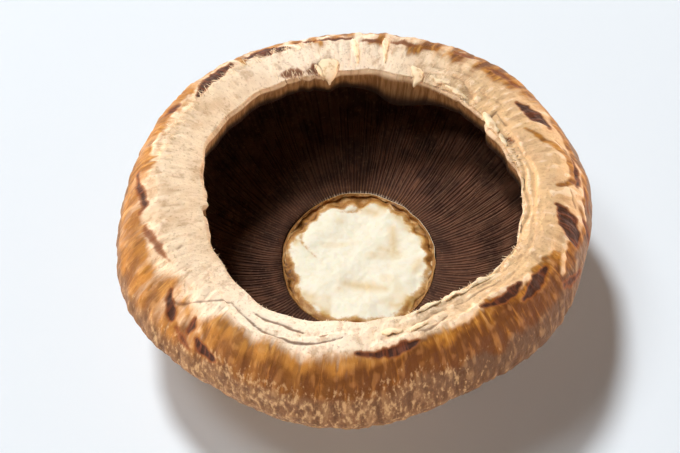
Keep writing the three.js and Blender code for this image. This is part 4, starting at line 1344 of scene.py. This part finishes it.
# %% Material: broken flesh
broken_flesh, shader = new_material("broken_flesh")
coordinates = add_node(shader, "ShaderNodeTexCoord").outputs["Object"]
links = {"Vector": coordinates, "Scale": 1 / (1.1 * MM), "Detail": 4.0, "Roughness": 0.65}
flesh_grain = add_node(shader, "ShaderNodeTexNoise", links)
moat_mask = streaked(shader, "moat", flesh_grain, 0.22)
yellow_mask = streaked(shader, "yellowed", flesh_grain, 0.1)
white = paint(shader, srgb("#FFF5DE"), [
    (flesh_grain, 0.55, 0.3, 0.6, "#F8EACB"),
    (yellow_mask, 0.05, 0.9, 0.85, "#DEBA72"),
    (moat_mask, 0.1, 0.5, 0.9, "#C8944A"),
    (moat_mask, 0.45, 0.8, 0.85, "#A0682A"),
    (moat_mask, 0.85, 1.1, 0.85, "#5C3616"),
])
bump = add_node(shader, "ShaderNodeBump", {"Height": flesh_grain, "Strength": 0.3, "Distance": 0.3 * MM})
links = {"Base Color": white, "Roughness": 0.6, "Specular IOR Level": 0.35, "Normal": bump}
links |= {"Subsurface Weight": 0.3, "Subsurface Radius": (1.0, 0.7, 0.4), "Subsurface Scale": 1.6 * MM}
surface = add_node(shader, "ShaderNodeBsdfPrincipled", links)
add_node(shader, "ShaderNodeOutputMaterial", {"Surface": surface})
stub.data.materials.append(broken_flesh)
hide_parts("stem_stub")
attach(stub, "root")

# %% [markdown]
# ## Floor, light and camera
#
# The floor is pale and plain. One broad lamp stands high behind on the left, so the bowl's far side is
# in its own shadow and the cast shadow falls to the front on the right. A wider and weaker lamp stands
# beside it, further to the left, and lifts the left part of that shadow. The room is dark above and
# glows low down, most at both sides, which fills the shadows on the floor and the flank but not the bowl.

# %% Floor
FLOOR_HALF = 1.6
floor_mesh = bpy.data.meshes.new("floor")
corners = [(x * FLOOR_HALF, y * FLOOR_HALF, 0) for x, y in ((-1, -1), (1, -1), (1, 1), (-1, 1))]
floor_mesh.from_pydata(corners, [], [(0, 1, 2, 3)])
floor = add_piece("floor", floor_mesh)
paper, shader = new_material("floor_paper")
links = {"Base Color": srgb("#DEE8F0"), "Roughness": 0.7, "Specular IOR Level": 0.2}
surface = add_node(shader, "ShaderNodeBsdfPrincipled", links)
add_node(shader, "ShaderNodeOutputMaterial", {"Surface": surface})
floor_mesh.materials.append(paper)


# %% Lights
def direction(azimuth, elevation):
    """A unit vector. Azimuth runs anticlockwise from +X, both are in degrees."""
    a, e = math.radians(azimuth), math.radians(elevation)
    return np.array([math.cos(a) * math.cos(e), math.sin(a) * math.cos(e), math.sin(e)])


LAMP_DISTANCE = 3.0
LAMPS = [
    # (name, azimuth and elevation in degrees, width in metres, watts)
    ("key", (125, 60), 0.55, 74),
    ("wide", (169, 62), 0.95, 23),
]
for name, place, size, watts in LAMPS:
    lamp_data = bpy.data.lights.new(name, "AREA")
    lamp_data.shape, lamp_data.size, lamp_data.energy = "DISK", size, watts
    lamp_data.color = srgb("#FFFFFF")[:3]
    lamp = bpy.data.objects.new(name, lamp_data)
    lamp.location = direction(*place) * LAMP_DISTANCE
    lamp.rotation_euler = Vector(-direction(*place)).to_track_quat("-Z", "Y").to_euler()
    bpy.context.scene.collection.objects.link(lamp)

# %% The room's low glow
GLOW_TOP, GLOW_FULL = 0.26, 0.02  # sines of the heights where it ends and where it is full
GLOW_STRENGTH = 10.0
world = bpy.data.worlds.new("studio")
world.use_nodes = True
sky = world.node_tree
sky.nodes.clear()
looked_at = add_node(sky, "ShaderNodeTexCoord").outputs["Generated"]
looked_at = add_node(sky, "ShaderNodeSeparateXYZ", {0: looked_at})
links = {"Value": looked_at.outputs["Z"], "From Min": GLOW_TOP, "From Max": GLOW_FULL}
links |= {"To Min": 0.01, "To Max": GLOW_STRENGTH}
low_glow = add_node(sky, "ShaderNodeMapRange", links, interpolation_type="SMOOTHSTEP")
sideways = add_node(sky, "ShaderNodeMath", {0: looked_at.outputs["X"]}, operation="ABSOLUTE")
links = {"Value": sideways, "To Min": 0.4, "To Max": 1.6}
sides = add_node(sky, "ShaderNodeMapRange", links)
strength = add_node(sky, "ShaderNodeMath", {0: low_glow, 1: sides}, operation="MULTIPLY")
background = add_node(sky, "ShaderNodeBackground", {"Color": srgb("#FFE4D2"), "Strength": strength})
add_node(sky, "ShaderNodeOutputWorld", {"Surface": background})
bpy.context.scene.world = world
bpy.context.scene.view_settings.view_transform = "Standard"

# %% Camera
ELEVATION = math.radians(51)
CAMERA_DISTANCE = 0.337
AIM = (np.array([-3.3, 0.6, 20.0]) + AXIS) * MM
camera_data = bpy.data.cameras.new("camera")
camera_data.lens = 50
camera_data.sensor_width = 22.35
camera = bpy.data.objects.new("camera", camera_data)
camera.location = AIM + CAMERA_DISTANCE * np.array([0, -math.cos(ELEVATION), math.sin(ELEVATION)])
camera.rotation_euler = (math.pi / 2 - ELEVATION, 0, 0)
bpy.context.scene.collection.objects.link(camera)
bpy.context.scene.camera = camera
